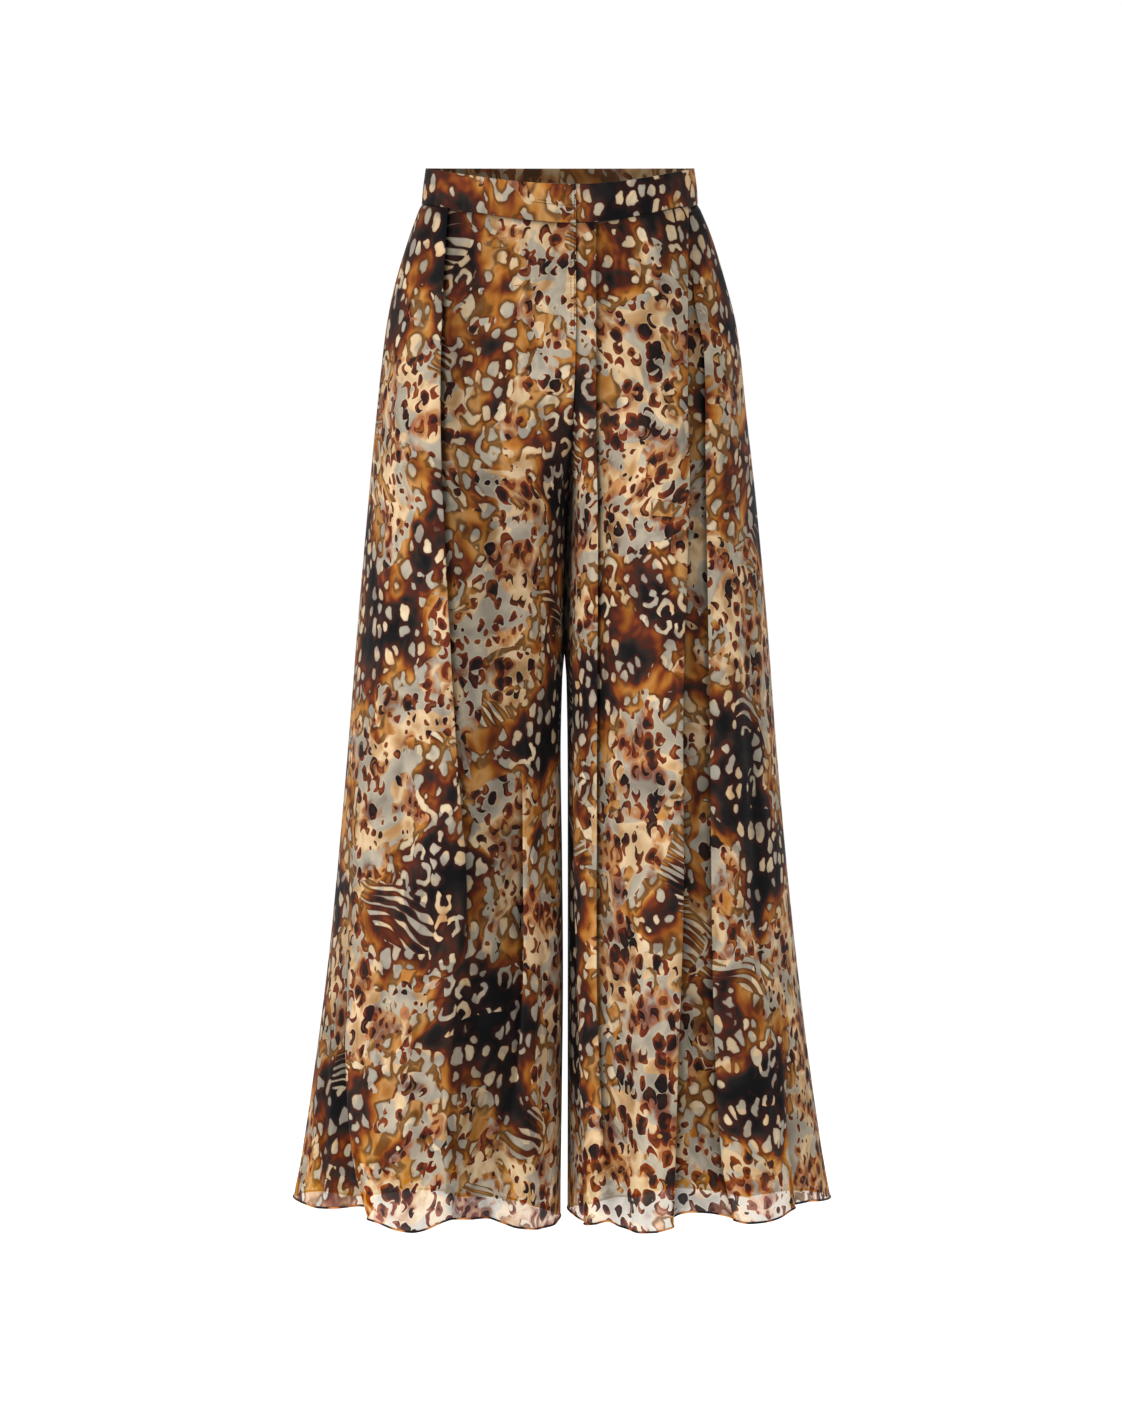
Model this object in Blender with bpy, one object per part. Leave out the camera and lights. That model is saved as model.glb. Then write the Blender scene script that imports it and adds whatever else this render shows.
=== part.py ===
"""Wide palazzo trousers that hang open and filled out, as they would on a wearer.

Metres, +Z up. The wearer's left is +X and the front faces -Y. The origin is the middle of
the waist, half way up the waistband, where the body holds the trousers.

Every piece is one closed wall of cloth. A leg panel is a grid of points: its rows run down
from the waist seam to the hem, and its columns run across from the side seam to the centre
seam above the crotch, or to the inside-leg seam below it. At each height the panel is a
stretch of an ellipse. It is a quarter of the waist above the hips. Below the crotch it is
half of the leg. Between them the ellipse ends along the curved rise seam.
"""

import math
from collections import namedtuple

import bmesh
import bpy
from mathutils import Vector

# ---------------------------------------------------------------- driving sizes

CLOTH_WALL = 0.0016
BAND_WALL = 0.0022
SEAM_GAP = 0.0003

BAND_TOP = 0.018  # heights of the waistband's edges and of the hem, at the side seams
WAIST_SEAM = -0.018
HEM = -1.011
RISE_STARTS = -0.120  # the rise seams are straight down to here, and curve under to the crotch
CROTCH = -0.315

FRONT_TOP_DIP = 0.0120  # how far the waist sinks at the middle of the front and the back
FRONT_SEAM_DIP = 0.0145
BACK_DIP = 0.0040
INSEAM_DROP = 0.0130  # how far the hem hangs below its height at the side seam
FRONT_HEM_DROP = 0.0085
BACK_HEM_DROP = 0.0005
LOBE_DROP = 0.7  # a raised fold hangs lower at the hem by this share of its height

BAND_DRAWN_IN = 0.004  # the waistband's top edge is this much nearer the middle at each side
LAP_UNDER = 0.030  # how far the left waistband runs on behind the end of the right one
LAP_TUCK_LENGTH = 0.010
FOLD_EDGE = 0.0015  # how sharply a fold turns, and how far its two columns stand from its line
FOLD_COLUMN = 0.0020
FOLD_CREST = 0.8  # a fold is highest this share of its reach away from its line
FOLD_SINK = 0.8  # the cloth under its edge sinks by this share of its height
PLAIN_AT_SEAM = 0.05  # share of a panel's width over which folds die out at its seams

# Half widths right and left, half depths front and back, the x of the seams in the middle
# of the front and the back, and half of the space between the legs.
Section = namedtuple("Section", "z right left front back fly seat split")
SECTIONS = (
    Section(-0.018, 0.1380, 0.1380, 0.088, 0.092, 0.0160, 0.0000, 0.00015),
    Section(-0.049, 0.1500, 0.1510, 0.095, 0.103, 0.0160, 0.0000, 0.00015),
    Section(-0.098, 0.1650, 0.1660, 0.104, 0.116, 0.0160, 0.0000, 0.00015),
    Section(-0.144, 0.1740, 0.1770, 0.109, 0.125, 0.0160, 0.0000, 0.00015),
    Section(-0.234, 0.1840, 0.1870, 0.113, 0.131, 0.0120, 0.0020, 0.00015),
    Section(-0.315, 0.1915, 0.1960, 0.114, 0.128, 0.0080, 0.0080, 0.00050),
    Section(-0.434, 0.2020, 0.2070, 0.114, 0.122, 0.0050, 0.0050, 0.00060),
    Section(-0.554, 0.2115, 0.2160, 0.115, 0.120, 0.0040, 0.0040, 0.00330),
    Section(-0.674, 0.2220, 0.2265, 0.117, 0.120, 0.0040, 0.0040, 0.00360),
    Section(-0.774, 0.2320, 0.2370, 0.119, 0.122, 0.0040, 0.0040, 0.00360),
    Section(-0.864, 0.2435, 0.2480, 0.122, 0.125, 0.0040, 0.0040, 0.00350),
    Section(-0.964, 0.2580, 0.2625, 0.126, 0.129, 0.0040, 0.0040, 0.00340),
    Section(-1.011, 0.2670, 0.2710, 0.129, 0.132, 0.0040, 0.0040, 0.00330),
)

# A fold is a line down a panel. On one side the cloth rises to a crest, and on the other it
# is sunk under the fold's edge. The line's x and the crest's height are given at four levels,
# and a height of 0 is no fold.
INNER, OUTER = 1, -1
FOLD_LEVELS = (WAIST_SEAM, -0.260, -0.620, HEM)
Fold = namedtuple("Fold", "panel raised reach x height")
FOLDS = (
    Fold("front_right", OUTER, 0.034, (-0.112, -0.119, -0.099, -0.106), (0.003, 0.007, 0.006, 0.006)),
    Fold("front_right", INNER, 0.036, (-0.131, -0.172, -0.205, -0.191), (0.000, 0.000, 0.001, 0.012)),
    Fold("front_right", INNER, 0.052, (-0.020, -0.030, -0.038, -0.062), (0.000, 0.000, 0.004, 0.012)),
    Fold("front_left", INNER, 0.022, (0.042, 0.042, 0.042, 0.045), (0.003, 0.004, 0.004, 0.009)),
    Fold("front_left", INNER, 0.036, (0.129, 0.130, 0.127, 0.114), (0.002, 0.005, 0.007, 0.013)),
    Fold("front_left", OUTER, 0.022, (0.1345, 0.147, 0.152, 0.175), (0.000, 0.004, 0.006, 0.008)),
    Fold("front_left", INNER, 0.022, (0.1370, 0.175, 0.205, 0.237), (0.000, 0.000, 0.000, 0.008)),
    Fold("back_right", OUTER, 0.036, (-0.055, -0.080, -0.095, -0.112), (0.000, 0.003, 0.006, 0.012)),
    Fold("back_right", INNER, 0.034, (-0.110, -0.145, -0.172, -0.205), (0.000, 0.000, 0.003, 0.012)),
    Fold("back_left", INNER, 0.036, (0.060, 0.078, 0.088, 0.081), (0.000, 0.003, 0.006, 0.012)),
    Fold("back_left", OUTER, 0.034, (0.115, 0.150, 0.168, 0.190), (0.000, 0.000, 0.004, 0.013)),
)

SPAN_COLUMN = 0.024  # widest space between two columns of a leg panel, at the hem
SPAN_ANGLE = 0.14  # and their widest angle at the waist, where the seam dips
RISE_ROWS = (0.25, 0.5, 0.7, 0.85, 0.94)  # shares of the way down the curve of the rise seam
BAND_COLUMNS = 14
BAND_ROWS = 2

# side: +1 is the wearer's left. facing: -1 is the front. Colours are linear.
Piece = namedtuple("Piece", "name side facing colour")
LEG_PANELS = (
    Piece("front_right", -1, -1, (0.30, 0.19, 0.11)),
    Piece("front_left", 1, -1, (0.33, 0.21, 0.12)),
    Piece("back_right", -1, 1, (0.24, 0.15, 0.09)),
    Piece("back_left", 1, 1, (0.27, 0.17, 0.10)),
)
BAND_PIECES = (
    Piece("waistband_front_right", -1, -1, (0.20, 0.12, 0.07)),
    Piece("waistband_front_left", 1, -1, (0.22, 0.14, 0.09)),
    Piece("waistband_back_right", -1, 1, (0.17, 0.11, 0.07)),
    Piece("waistband_back_left", 1, 1, (0.18, 0.12, 0.08)),
)
CLOTH_ROUGHNESS = 0.75
SHARP_FOLD = math.radians(50)


# ---------------------------------------------------------------- reading the tables


def smooth_step(low, high, value):
    share = min(max((value - low) / (high - low), 0.0), 1.0)
    return share * share * (3.0 - 2.0 * share)


def even_steps(first, last, count):
    """count + 1 values from first to last, both included."""
    return [first + (last - first) * i / count for i in range(count + 1)]


def curve_through(places, values, place):
    """The value at a place, on a smooth curve through (place, value), for falling places."""
    place = min(max(place, places[-1]), places[0])
    last = len(places) - 1
    i = next(k for k in range(last) if place >= places[k + 1])
    span = places[i + 1] - places[i]

    def slope(k):
        before, after = max(k - 1, 0), min(k + 1, last)
        return (values[after] - values[before]) / (places[after] - places[before])

    t = (place - places[i]) / span
    start = values[i] * (1 + 2 * t) * (1 - t) ** 2 + slope(i) * span * t * (1 - t) ** 2
    end = values[i + 1] * t * t * (3 - 2 * t) + slope(i + 1) * span * t * t * (t - 1)
    return start + end


def section_value(name, z):
    heights = [row.z for row in SECTIONS]
    return curve_through(heights, [getattr(row, name) for row in SECTIONS], z)


# ---------------------------------------------------------------- the form of a leg panel


class Ellipse:
    """A panel's stretch of ellipse at one height, from angle 0 at the side seam to end.

    Distances across are measured outwards from the middle of the body, so that both legs
    share the same sums, and side turns them into an x.
    """

    def __init__(self, panel, z):
        self.side = panel.side
        self.facing = panel.facing
        middle = section_value("fly" if panel.facing < 0 else "seat", z)
        inner = panel.side * middle + section_value("split", z)
        outer = section_value("left" if panel.side > 0 else "right", z)
        self.end = math.pi / 2 + math.asin(rise_share(z))
        self.reach = (outer - inner) / (1.0 - math.cos(self.end))
        self.centre = outer - self.reach
        self.depth = section_value("front" if panel.facing < 0 else "back", z)

    def angle_at(self, x):
        share = (self.side * x - self.centre) / self.reach
        return math.acos(min(max(share, -1.0), 1.0))

    def speed(self, angle):
        """Metres of cloth for each radian."""
        return math.hypot(self.reach * math.sin(angle), self.depth * math.cos(angle))

    def point(self, angle, lift):
        across, along = math.cos(angle), math.sin(angle)
        out = Vector((across / self.reach, along / self.depth)).normalized()
        x = self.centre + self.reach * across + lift * out.x
        y = SEAM_GAP / 2 + self.depth * along + lift * out.y
        return self.side * x, self.facing * y


def rise_share(z):
    """0 where the rise seams are straight, 1 at the crotch and below it."""
    return smooth_step(RISE_STARTS, CROTCH, z)


def fold_reading(values, z):
    """A fold's x or height at any z, from its values at the four levels."""
    i = 0
    while z < FOLD_LEVELS[i + 1] and i < len(FOLD_LEVELS) - 2:
        i += 1
    share = smooth_step(FOLD_LEVELS[i], FOLD_LEVELS[i + 1], z)
    return values[i] + (values[i + 1] - values[i]) * share


def folds_of(panel):
    return [fold for fold in FOLDS if fold.panel == panel.name]


def fold_lift(panel, ellipse, z, angle):
    """How far the folds stand the cloth off the plain ellipse at one angle."""
    lift = 0.0
    for fold in folds_of(panel):
        line = ellipse.angle_at(fold_reading(fold.x, z))
        away = (angle - line) * ellipse.speed(line) * fold.raised / fold.reach
        over_edge = (1.0 + math.tanh(away * fold.reach / FOLD_EDGE)) / 2
        crest = math.exp(-((away - FOLD_CREST) ** 2))
        sink = -FOLD_SINK * math.exp(-(away**2))
        lift += fold_reading(fold.height, z) * (over_edge * crest + (1.0 - over_edge) * sink)
    share = angle / ellipse.end
    at_seams = smooth_step(0.0, PLAIN_AT_SEAM, share) * smooth_step(0.0, PLAIN_AT_SEAM, 1.0 - share)
    return lift * at_seams


def seam_dip(facing, share):
    """How far the waist seam sinks, at a share of the way from the side to the middle."""
    rise = math.sin(share * math.pi / 2)
    return FRONT_SEAM_DIP * rise**4 if facing < 0 else BACK_DIP * rise


def top_dip(facing, share):
    """The same for the waistband's top edge."""
    rise = math.sin(share * math.pi / 2)
    return FRONT_TOP_DIP * rise**3 if facing < 0 else BACK_DIP * rise


def leg_point(panel, ellipse, z, angle):
    """The outer surface of a panel, on the row whose height at the side seam is z."""
    lift = fold_lift(panel, ellipse, z, angle)
    x, y = ellipse.point(angle, lift)
    share = angle / ellipse.end
    above_crotch = 1.0 - smooth_step(WAIST_SEAM, CROTCH, z)
    below_crotch = smooth_step(CROTCH, HEM, z) ** 2
    extra_drop = FRONT_HEM_DROP if panel.facing < 0 else BACK_HEM_DROP
    hem_drop = INSEAM_DROP * smooth_step(0.0, 1.0, share) + extra_drop * math.sin(share * math.pi)
    hem_drop += LOBE_DROP * lift
    dip = seam_dip(panel.facing, share) * above_crotch
    return Vector((x, y, z - dip - hem_drop * below_crotch))


def leg_columns(panel):
    """A function of the ellipse and height that gives the same number of angles in each row."""
    hem, waist = Ellipse(panel, HEM), Ellipse(panel, WAIST_SEAM)
    lines = sorted(folds_of(panel), key=lambda fold: hem.angle_at(fold.x[-1]))
    at_hem = [0.0] + [hem.angle_at(fold.x[-1]) for fold in lines] + [hem.end]
    at_waist = [0.0] + [waist.angle_at(fold.x[0]) for fold in lines] + [waist.end]
    spans = []
    for k in range(len(lines) + 1):
        length = (at_hem[k + 1] - at_hem[k]) * hem.speed((at_hem[k] + at_hem[k + 1]) / 2)
        angle = at_waist[k + 1] - at_waist[k]
        spans.append(max(1, math.ceil(length / SPAN_COLUMN), math.ceil(angle / SPAN_ANGLE)))

    def angles(ellipse, z):
        edges = [0.0]
        for fold in lines:
            line = ellipse.angle_at(fold_reading(fold.x, z))
            half = FOLD_COLUMN / ellipse.speed(line)
            edges += [line - half, line + half]
        edges.append(ellipse.end)
        found = []
        for i, count in enumerate(spans):
            found += even_steps(edges[2 * i], edges[2 * i + 1], count)
        return found

    return angles


def row_heights():
    """Rows down a leg panel: close together where the rise seam curves under."""
    above = even_steps(WAIST_SEAM - SEAM_GAP, RISE_STARTS, 3)
    curve = [RISE_STARTS + (CROTCH - RISE_STARTS) * share for share in RISE_ROWS]
    return above + curve + even_steps(CROTCH, HEM, 12)


# ---------------------------------------------------------------- the waistband


def band_point(piece, angle, share):
    """The outer surface of the waistband. share is 0 at its top edge and 1 at the waist seam."""
    ellipse = Ellipse(piece, WAIST_SEAM)
    crossed = angle > math.pi / 2  # past the middle, on the other side's half of the ellipse
    if crossed:
        other = Ellipse(piece._replace(side=-piece.side), WAIST_SEAM)
        ellipse.reach = other.reach
    ellipse.reach -= BAND_DRAWN_IN * (1.0 - share)
    x, y = ellipse.point(angle, -lap_tuck(piece, ellipse, angle))
    from_side = angle / (math.pi / 2)
    top = BAND_TOP - top_dip(piece.facing, from_side)
    bottom = WAIST_SEAM - seam_dip(piece.facing, from_side)
    return Vector((x, y, top + (bottom - top) * share))


def laps_under(piece):
    return piece.side > 0 and piece.facing < 0


def lap_tuck(piece, ellipse, angle):
    """How far the left front band steps in, so that it passes behind the end of the right one."""
    if not laps_under(piece):
        return 0.0
    from_end = (math.pi / 2 - angle) * ellipse.reach
    return (BAND_WALL + SEAM_GAP) * (1.0 - smooth_step(0.0, LAP_TUCK_LENGTH, from_end))


def band_angles(piece):
    if not laps_under(piece):
        return even_steps(0.0, math.pi / 2, BAND_COLUMNS)
    ellipse = Ellipse(piece, WAIST_SEAM)
    tuck_starts = math.pi / 2 - LAP_TUCK_LENGTH / ellipse.reach
    other = Ellipse(piece._replace(side=-piece.side), WAIST_SEAM)
    lap_ends = math.pi / 2 + LAP_UNDER / other.reach
    outside = even_steps(0.0, tuck_starts, BAND_COLUMNS - 2)
    tuck = even_steps(tuck_starts, math.pi / 2, 3)
    return outside + tuck[1:] + even_steps(math.pi / 2, lap_ends, 3)[1:]


# ---------------------------------------------------------------- cloth walls


def inward_directions(rows, piece):
    """Unit vectors into the trousers at each point, flat along the piece's own edges.

    A wall grows along them. They don't lean across a seam, so neighbours never meet.
    """
    last_row, last_column = len(rows) - 1, len(rows[0]) - 1
    directions = []
    for i, row in enumerate(rows):
        line = []
        for j, point in enumerate(row):
            across = row[min(j + 1, last_column)] - row[max(j - 1, 0)]
            down = rows[min(i + 1, last_row)][j] - rows[max(i - 1, 0)][j]
            inward = across.cross(down) * piece.side * piece.facing
            if i in (0, last_row):
                inward.z = 0.0
            if j == 0 or (j == last_column and abs(point.y) < 2 * SEAM_GAP):
                inward.y = 0.0
            if j == last_column:
                inward.x = piece.side * max(piece.side * inward.x, 0.0)
            line.append(inward.normalized())
        directions.append(line)
    return directions


def wall_mesh(name, rows, directions, wall):
    """A closed wall: the outer points, the same points moved in, and a strip round the edge."""
    bm = bmesh.new()
    outer = [[bm.verts.new(p) for p in row] for row in rows]
    inner = [
        [bm.verts.new(p + d * wall) for p, d in zip(row, line)] for row, line in zip(rows, directions)
    ]
    for i in range(len(rows) - 1):
        for j in range(len(rows[0]) - 1):
            bm.faces.new((outer[i][j], outer[i][j + 1], outer[i + 1][j + 1], outer[i + 1][j]))
            bm.faces.new((inner[i][j], inner[i + 1][j], inner[i + 1][j + 1], inner[i][j + 1]))
    outer_rim = rim_of(outer)
    inner_rim = rim_of(inner)
    for k in range(len(outer_rim)):
        following = (k + 1) % len(outer_rim)
        bm.faces.new((outer_rim[k], inner_rim[k], inner_rim[following], outer_rim[following]))
    bmesh.ops.triangulate(bm, faces=bm.faces)
    bmesh.ops.recalc_face_normals(bm, faces=bm.faces)
    mesh = bpy.data.meshes.new(name)
    bm.to_mesh(mesh)
    bm.free()
    mesh.shade_smooth()
    mesh.set_sharp_from_angle(angle=SHARP_FOLD)
    return mesh


def rim_of(grid):
    """The points round the edge of a grid, once round."""
    top = grid[0]
    far_side = [row[-1] for row in grid[1:]]
    bottom = grid[-1][-2::-1]
    near_side = [row[0] for row in grid[-2:0:-1]]
    return top + far_side + bottom + near_side


def cloth_material(piece):
    material = bpy.data.materials.new(piece.name + "_cloth")
    material.use_nodes = True
    shader = material.node_tree.nodes["Principled BSDF"]
    shader.inputs["Base Color"].default_value = (*piece.colour, 1.0)
    shader.inputs["Roughness"].default_value = CLOTH_ROUGHNESS
    shader.inputs["Metallic"].default_value = 0.0
    return material


def make_piece(piece, rows, wall):
    mesh = wall_mesh(piece.name, rows, inward_directions(rows, piece), wall)
    mesh.materials.append(cloth_material(piece))
    bpy.context.scene.collection.objects.link(bpy.data.objects.new(piece.name, mesh))


def make_leg_panel(panel):
    angles = leg_columns(panel)
    rows = []
    for z in row_heights():
        ellipse = Ellipse(panel, z)
        rows.append([leg_point(panel, ellipse, z, angle) for angle in angles(ellipse, z)])
    make_piece(panel, rows, CLOTH_WALL)


def make_band_piece(piece):
    angles = band_angles(piece)
    shares = even_steps(0.0, 1.0, BAND_ROWS)
    make_piece(piece, [[band_point(piece, a, share) for a in angles] for share in shares], BAND_WALL)


def main():
    for obj in list(bpy.data.objects):
        bpy.data.objects.remove(obj)
    for panel in LEG_PANELS:
        make_leg_panel(panel)
    for piece in BAND_PIECES:
        make_band_piece(piece)


main()
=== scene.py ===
# %% [markdown]
# # Palazzo trousers in printed chiffon
#
# The real garment is cut from one light cloth: four long flared leg panels and four short
# pieces of waistband. The legs are a single layer that falls in pleats from the waist seam.
# The band is folded double, and the hem is rolled narrow and left sheer.
#
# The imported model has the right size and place, but its walls are plain and thick. Each wall
# is replaced here by a thinner cloth on the same form, with its folds in full.

# %% Load the frame
import math
from collections import namedtuple

import bmesh
import bpy
import numpy as np
from mathutils import Matrix, Vector


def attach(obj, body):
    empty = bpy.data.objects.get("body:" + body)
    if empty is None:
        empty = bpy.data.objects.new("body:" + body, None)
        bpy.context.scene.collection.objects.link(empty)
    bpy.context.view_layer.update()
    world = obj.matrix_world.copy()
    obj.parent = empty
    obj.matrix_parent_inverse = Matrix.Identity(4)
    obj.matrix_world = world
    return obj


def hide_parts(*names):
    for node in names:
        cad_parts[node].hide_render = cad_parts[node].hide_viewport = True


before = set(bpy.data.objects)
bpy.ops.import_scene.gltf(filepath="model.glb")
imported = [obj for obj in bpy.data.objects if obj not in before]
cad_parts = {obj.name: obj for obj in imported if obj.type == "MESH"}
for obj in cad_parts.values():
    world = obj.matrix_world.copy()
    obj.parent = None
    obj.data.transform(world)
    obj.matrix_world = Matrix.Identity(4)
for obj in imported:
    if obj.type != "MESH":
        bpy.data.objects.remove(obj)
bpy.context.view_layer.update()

# %% [markdown]
# ## Camera
#
# A garment is best seen from far away through a long lens, because a near camera makes the
# waist look small and the hem look wide. The lens is worked out from the height that the
# picture takes in and from the distance, so either can be changed alone.

# %% Place the camera
VIEW_DISTANCE = 18.0
VIEW_RISE = math.radians(4.0)
VIEW_CENTRE = (0.001, 0.0, -0.515)
VIEW_HEIGHT = 1.402
SENSOR = 36.0
FARTHEST_SEEN = 500.0

lens = bpy.data.cameras.new("camera")
lens.sensor_width = SENSOR
lens.lens = SENSOR * VIEW_DISTANCE / VIEW_HEIGHT
lens.clip_end = FARTHEST_SEEN
camera = bpy.data.objects.new("camera", lens)
camera.location = (
    VIEW_CENTRE[0],
    VIEW_CENTRE[1] - VIEW_DISTANCE * math.cos(VIEW_RISE),
    VIEW_CENTRE[2] + VIEW_DISTANCE * math.sin(VIEW_RISE),
)
camera.rotation_euler = (math.pi / 2 - VIEW_RISE, 0.0, 0.0)
bpy.context.scene.collection.objects.link(camera)
bpy.context.scene.camera = camera
print("lens, mm:", round(lens.lens, 1))

# %% [markdown]
# ## Writing shader nodes
#
# Nodes can be placed by hand in the editor, but a pattern with many steps reads better as
# sums. This small class writes a node for each step, and a term may be a number or a socket.

# %% A writer of nodes
def linear(swatch):
    """A six-figure swatch such as A8A49A as the linear colour that shaders use."""
    shares = [int(swatch[i:i + 2], 16) / 255 for i in (0, 2, 4)]
    return [s / 12.92 if s <= 0.04045 else ((s + 0.055) / 1.055) ** 2.4 for s in shares] + [1.0]


class Nodes:
    """Writes nodes into a tree. A term may be a number, a list or another node's socket."""

    def __init__(self, tree):
        self.tree = tree

    def add(self, kind, terms=(), **settings):
        node = self.tree.nodes.new(kind)
        for name, setting in settings.items():
            setattr(node, name, setting)
        for place, term in dict(terms).items():
            if isinstance(term, bpy.types.NodeSocket):
                self.tree.links.new(term, node.inputs[place])
            else:
                node.inputs[place].default_value = term
        return node

    def group(self, tree, **terms):
        node = self.add("ShaderNodeGroup", node_tree=tree)
        for name, term in terms.items():
            self.tree.links.new(term, node.inputs[name])
        return node.outputs

    def value(self, operation, *terms):
        return self.add("ShaderNodeMath", enumerate(terms), operation=operation).outputs[0]

    def vector(self, operation, *terms):
        return self.add("ShaderNodeVectorMath", enumerate(terms), operation=operation).outputs[0]

    def scaled(self, place, factor):
        terms = {0: place, "Scale": factor}
        return self.add("ShaderNodeVectorMath", terms, operation="SCALE").outputs[0]

    def stretched(self, place, x, y):
        """The place with its x and y scaled, so that what is read there is drawn out."""
        return self.vector("MULTIPLY", place, (x, y, 1.0))

    def less(self, share):
        return self.value("SUBTRACT", 1.0, share)

    def both(self, first, second):
        return self.value("MULTIPLY", first, second)

    def noise(self, place, per_metre, detail=2.0, output="Fac", roughness=0.5):
        terms = {"Vector": place, "Scale": per_metre, "Detail": detail, "Roughness": roughness}
        return self.add("ShaderNodeTexNoise", terms, noise_dimensions="2D").outputs[output]

    def cells(self, place, per_metre, feature="F1", randomness=1.0):
        terms = {"Vector": place, "Scale": per_metre, "Randomness": randomness}
        settings = {"voronoi_dimensions": "2D", "feature": feature}
        return self.add("ShaderNodeTexVoronoi", terms, **settings).outputs

    def fade(self, value, low, high):
        """0 at low and 1 at high, eased."""
        terms = {"Value": value, "From Min": low, "From Max": high}
        return self.add("ShaderNodeMapRange", terms, interpolation_type="SMOOTHSTEP").outputs[0]

    def ranged(self, value, low, high, first, last):
        """first where the value is low, last where it is high, and straight between them."""
        terms = {"Value": value, "From Min": low, "From Max": high, "To Min": first, "To Max": last}
        return self.add("ShaderNodeMapRange", terms).outputs[0]

    def mix(self, share, first, second):
        """Blends two numbers."""
        return self.add("ShaderNodeMix", {"Factor": share, 2: first, 3: second}).outputs[0]

    def blend(self, share, first, second):
        """Blends two colours."""
        terms = {"Factor": share, 6: first, 7: second}
        return self.add("ShaderNodeMix", terms, data_type="RGBA").outputs[2]

    def ramp(self, value, *stops):
        """A colour for each value, from (place, swatch) stops in order."""
        node = self.add("ShaderNodeValToRGB", {"Fac": value})
        elements = node.color_ramp.elements
        while len(elements) < len(stops):
            elements.new(0.5)
        for element, (place, _) in zip(elements, stops):
            element.position = place
        for element, (_, swatch) in zip(elements, stops):
            element.color = linear(swatch)
        return node.outputs["Color"]

    def warped(self, place, per_metre, by, detail=1.0):
        """The place pushed about by noise, up to `by` metres."""
        noise = self.noise(place, per_metre, detail, "Color")
        push = self.vector("SUBTRACT", noise, (0.5, 0.5, 0.5))
        return self.vector("ADD", place, self.scaled(push, 2 * by))


def new_group(name, takes, gives):
    """A shader node group. takes and gives list (socket name, socket type)."""
    tree = bpy.data.node_groups.new(name, "ShaderNodeTree")
    for kind, sockets in (("INPUT", takes), ("OUTPUT", gives)):
        for socket_name, socket_type in sockets:
            tree.interface.new_socket(socket_name, in_out=kind, socket_type="NodeSocket" + socket_type)
    came_in = tree.nodes.new("NodeGroupInput").outputs
    goes_out = tree.nodes.new("NodeGroupOutput").inputs
    return tree, Nodes(tree), came_in, goes_out


# %% [markdown]
# ## The animal print
#
# The cloth is printed with a mixed animal print: leopard spots, pebbles like a lizard's skin,
# open rings and zebra stripes, in greige and cream on near black, burgundy, rust and ochre.
# An image could be painted for it, but sums of noise and cells give a print without an end.
#
# Every motif below is a distance in metres to its own edge, above 0 inside. A crisp edge, a
# rim inside it and a halo outside all come from that one number.

# %% Motifs of the print
def elsewhere(n, place, x, y):
    """The same place, moved, so that a noise read there has nothing to do with another."""
    return n.vector("ADD", place, (x, y, 0.0))


def cell_centres(n, place, per_metre, randomness=1.0):
    """For the nearest cell: the way from its centre, how far that is, and its own three numbers."""
    cells = n.cells(place, per_metre, randomness=randomness)
    way = n.vector("SUBTRACT", place, cells["Position"])
    far = n.value("DIVIDE", cells["Distance"], per_metre)
    own = n.add("ShaderNodeSeparateColor", {0: cells["Color"]}).outputs
    return way, far, own


def own_radius(n, own, radius, spread):
    """A radius for each cell, up to half the spread more or less than the one given."""
    return n.value("MULTIPLY_ADD", own["Red"], spread, radius - spread / 2)


PEBBLE_CORNER = 0.002  # metres over which a pebble's round side runs into a straight one
LEFT_OUT_BY = 0.02  # metres that take a pebble below 0, so that it isn't there


def pebbles(n, place, per_metre, gap, radius, spread, left_out):
    """Rounded cells with `gap` metres of ground around them. A share of them is left out."""
    _, far, own = cell_centres(n, place, per_metre)
    second = n.cells(place, per_metre, feature="F2")["Distance"]
    apart = n.value("SUBTRACT", n.value("DIVIDE", second, per_metre), far)
    between = n.value("MULTIPLY_ADD", apart, 0.5, -gap)
    round_side = n.value("SUBTRACT", own_radius(n, own, radius, spread), far)
    shape = n.value("SMOOTH_MIN", round_side, between, PEBBLE_CORNER)
    gone = n.value("LESS_THAN", own["Green"], left_out)
    return n.value("SUBTRACT", shape, n.both(gone, LEFT_OUT_BY)), own["Blue"]


def turned_away(n, way, own):
    """How far a place is from its cell's centre along a direction that is the cell's own."""
    turn = n.both(own["Blue"], math.tau)
    parts = n.add("ShaderNodeSeparateXYZ", {0: way}).outputs
    along_x = n.both(n.value("COSINE", turn), parts["X"])
    return n.value("MULTIPLY_ADD", n.value("SINE", turn), parts["Y"], along_x)


SPOT_CORNER = 0.0012  # metres over which a spot's outline runs into its bite
BITE_AT = 0.66  # how far out the middle of a bite is, as a share of the spot's radius
BITTEN = (0.35, 0.60)  # own numbers up to which a spot is whole, and from which it has a full bite


def kidneys(n, place, per_metre, radius, spread, bite):
    """Leopard spots: rounded cells, some of them bitten on one side into beans and open rings."""
    way, far, own = cell_centres(n, place, per_metre, randomness=0.85)
    outer = own_radius(n, own, radius, spread)
    along = turned_away(n, way, own)
    across = n.value("SQRT", n.value("SUBTRACT", n.both(far, far), n.both(along, along)))
    from_bite = n.value("MULTIPLY_ADD", outer, -BITE_AT, along)
    bitten = n.value("SQRT", n.value("MULTIPLY_ADD", from_bite, from_bite, n.both(across, across)))
    bite_size = n.both(outer, n.ranged(own["Green"], *BITTEN, 0.0, bite))
    outside_bite = n.value("SUBTRACT", bitten, bite_size)
    round_side = n.value("SUBTRACT", outer, far)
    return n.value("SMOOTH_MIN", round_side, outside_bite, SPOT_CORNER), own["Green"]


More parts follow.
